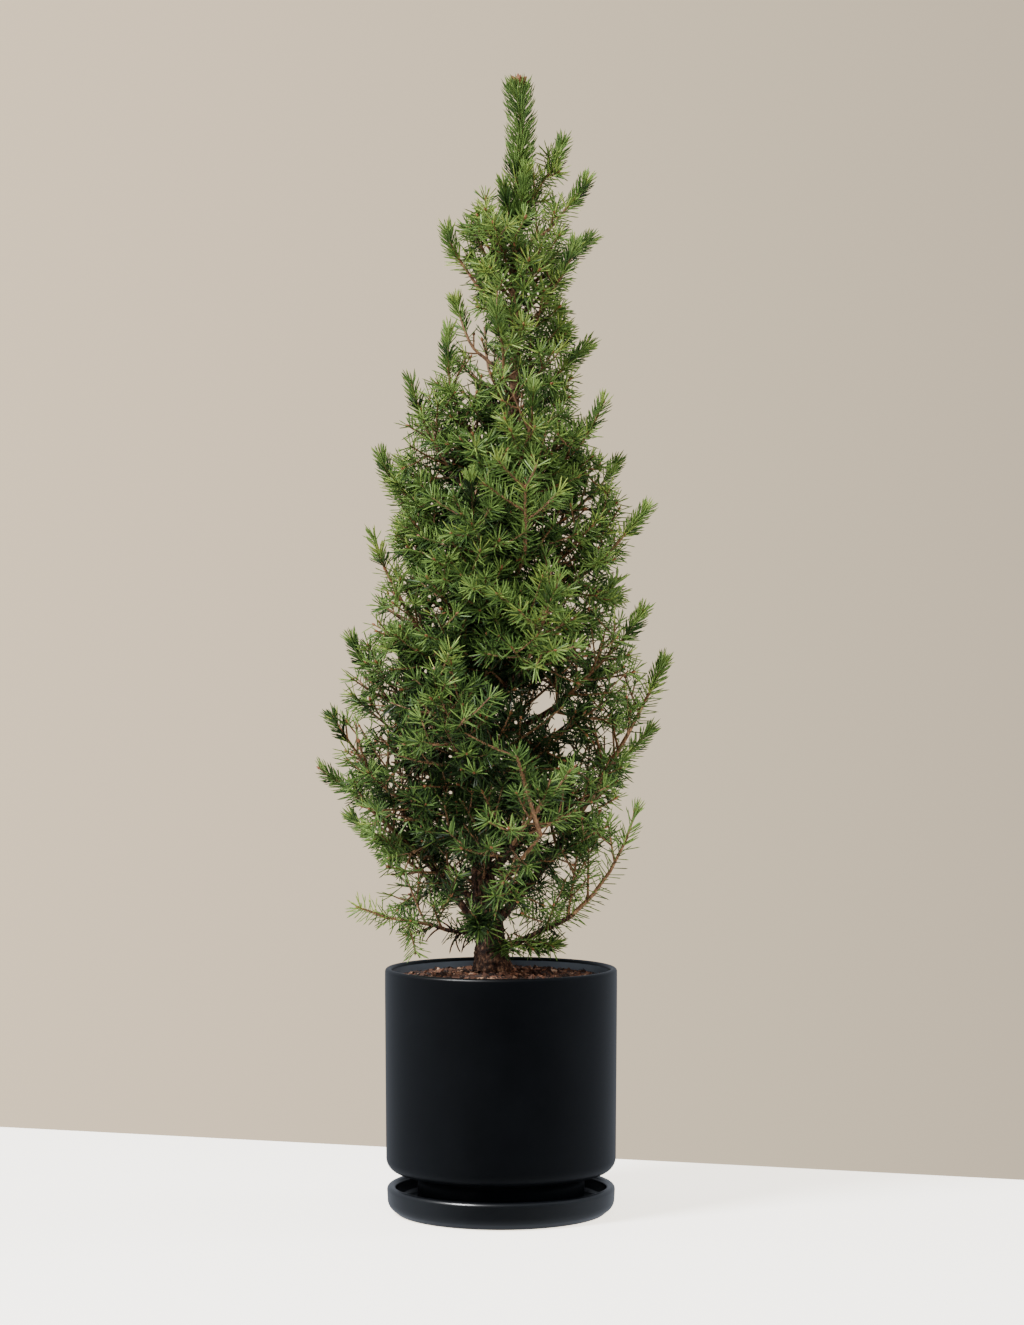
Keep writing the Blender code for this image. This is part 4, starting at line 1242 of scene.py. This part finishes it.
def make_world():
    """A pale wall for the eye, and for the light a room that is dark on the side that the camera is on."""
    world = bpy.data.worlds.new("studio")
    bpy.context.scene.world = world
    world.use_nodes = True
    tree = world.node_tree
    where = add_node(tree, "TexCoord").outputs["Generated"]
    room_tone = direction_ramp(tree, where, "Y", *ROOM_SPAN, ((0.0, ROOM_DARK), (1.0, ROOM_LIGHT)))
    room = fill(tree, tree.nodes["Background"], Color=room_tone)
    wall_tone = direction_ramp(tree, where, "X", *WALL_SPAN, ((0.0, WALL_LEFT), (1.0, WALL_RIGHT)))
    wall = add_node(tree, "Background", Color=wall_tone)
    seen = add_node(tree, "LightPath").outputs["Is Camera Ray"]
    choice = add_node(tree, "MixShader")
    for number, socket in enumerate((seen, room.outputs[0], wall.outputs[0])):
        tree.links.new(socket, choice.inputs[number])
    fill(tree, tree.nodes["World Output"], Surface=choice.outputs[0])


def make_setting():
    make_world()
    near = [(x, TABLE_FRONT + x * TABLE_SLANT, 0) for x in (-TABLE_SPAN, TABLE_SPAN)]
    far = [(x, TABLE_BACK + x * TABLE_SLANT, 0) for x in (TABLE_SPAN, -TABLE_SPAN)]
    material, tree, shader = new_material("table_top", 0.6, TABLE_TONE)
    fill(tree, shader, Emission_Color=(*TABLE_GLOW_TONE, 1), Emission_Strength=TABLE_GLOW)
    floor = add_mesh("table_top", np.array([*near, *far]), np.array([[0, 1, 2, 3]]), material, smooth=False)
    floor.visible_glossy = False
    for name, place_of, width, height, power in LAMPS:
        data = bpy.data.lights.new(name, "AREA")
        data.shape = "RECTANGLE"
        data.size = width
        data.size_y = height
        data.energy = power
        lamp = bpy.data.objects.new(name, data)
        lamp.location = place_of
        lamp.rotation_euler = (Vector(LAMPS_AIM) - Vector(place_of)).to_track_quat("-Z", "Y").to_euler()
        lamp.visible_camera = False
        lamp.visible_glossy = name == "key"
        bpy.context.scene.collection.objects.link(lamp)


def main():
    make_camera()
    make_setting()
    make_pot(glaze_material("matt_glaze", *POT_GLAZE), glaze_material("inside_glaze_painted_light", *INSIDE_GLAZE_PAINTED_LIGHT))
    make_saucer(glaze_material("saucer_glaze", *SAUCER_GLAZE_PAINTED_REFLECTION))
    make_soil()
    limbs = [Limb(number, *row) for number, row in enumerate(LIMBS)]
    masses = [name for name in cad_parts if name.endswith("_needles")]
    wood = [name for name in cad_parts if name.endswith("_bough") or name == "trunk"]
    make_bark(limbs, bark_material(), wood)
    bud = fine_material("red_brown_buds", (0.12, 0.042, 0.016), (0.25, 0.1, 0.038), 0.6)
    twig_bark = grained("young_twig_bark", 0.7, TWIG_BARK, 320, 5, bump=0.0004)
    make_foliage(limbs, twig_bark, bud, masses)


main()
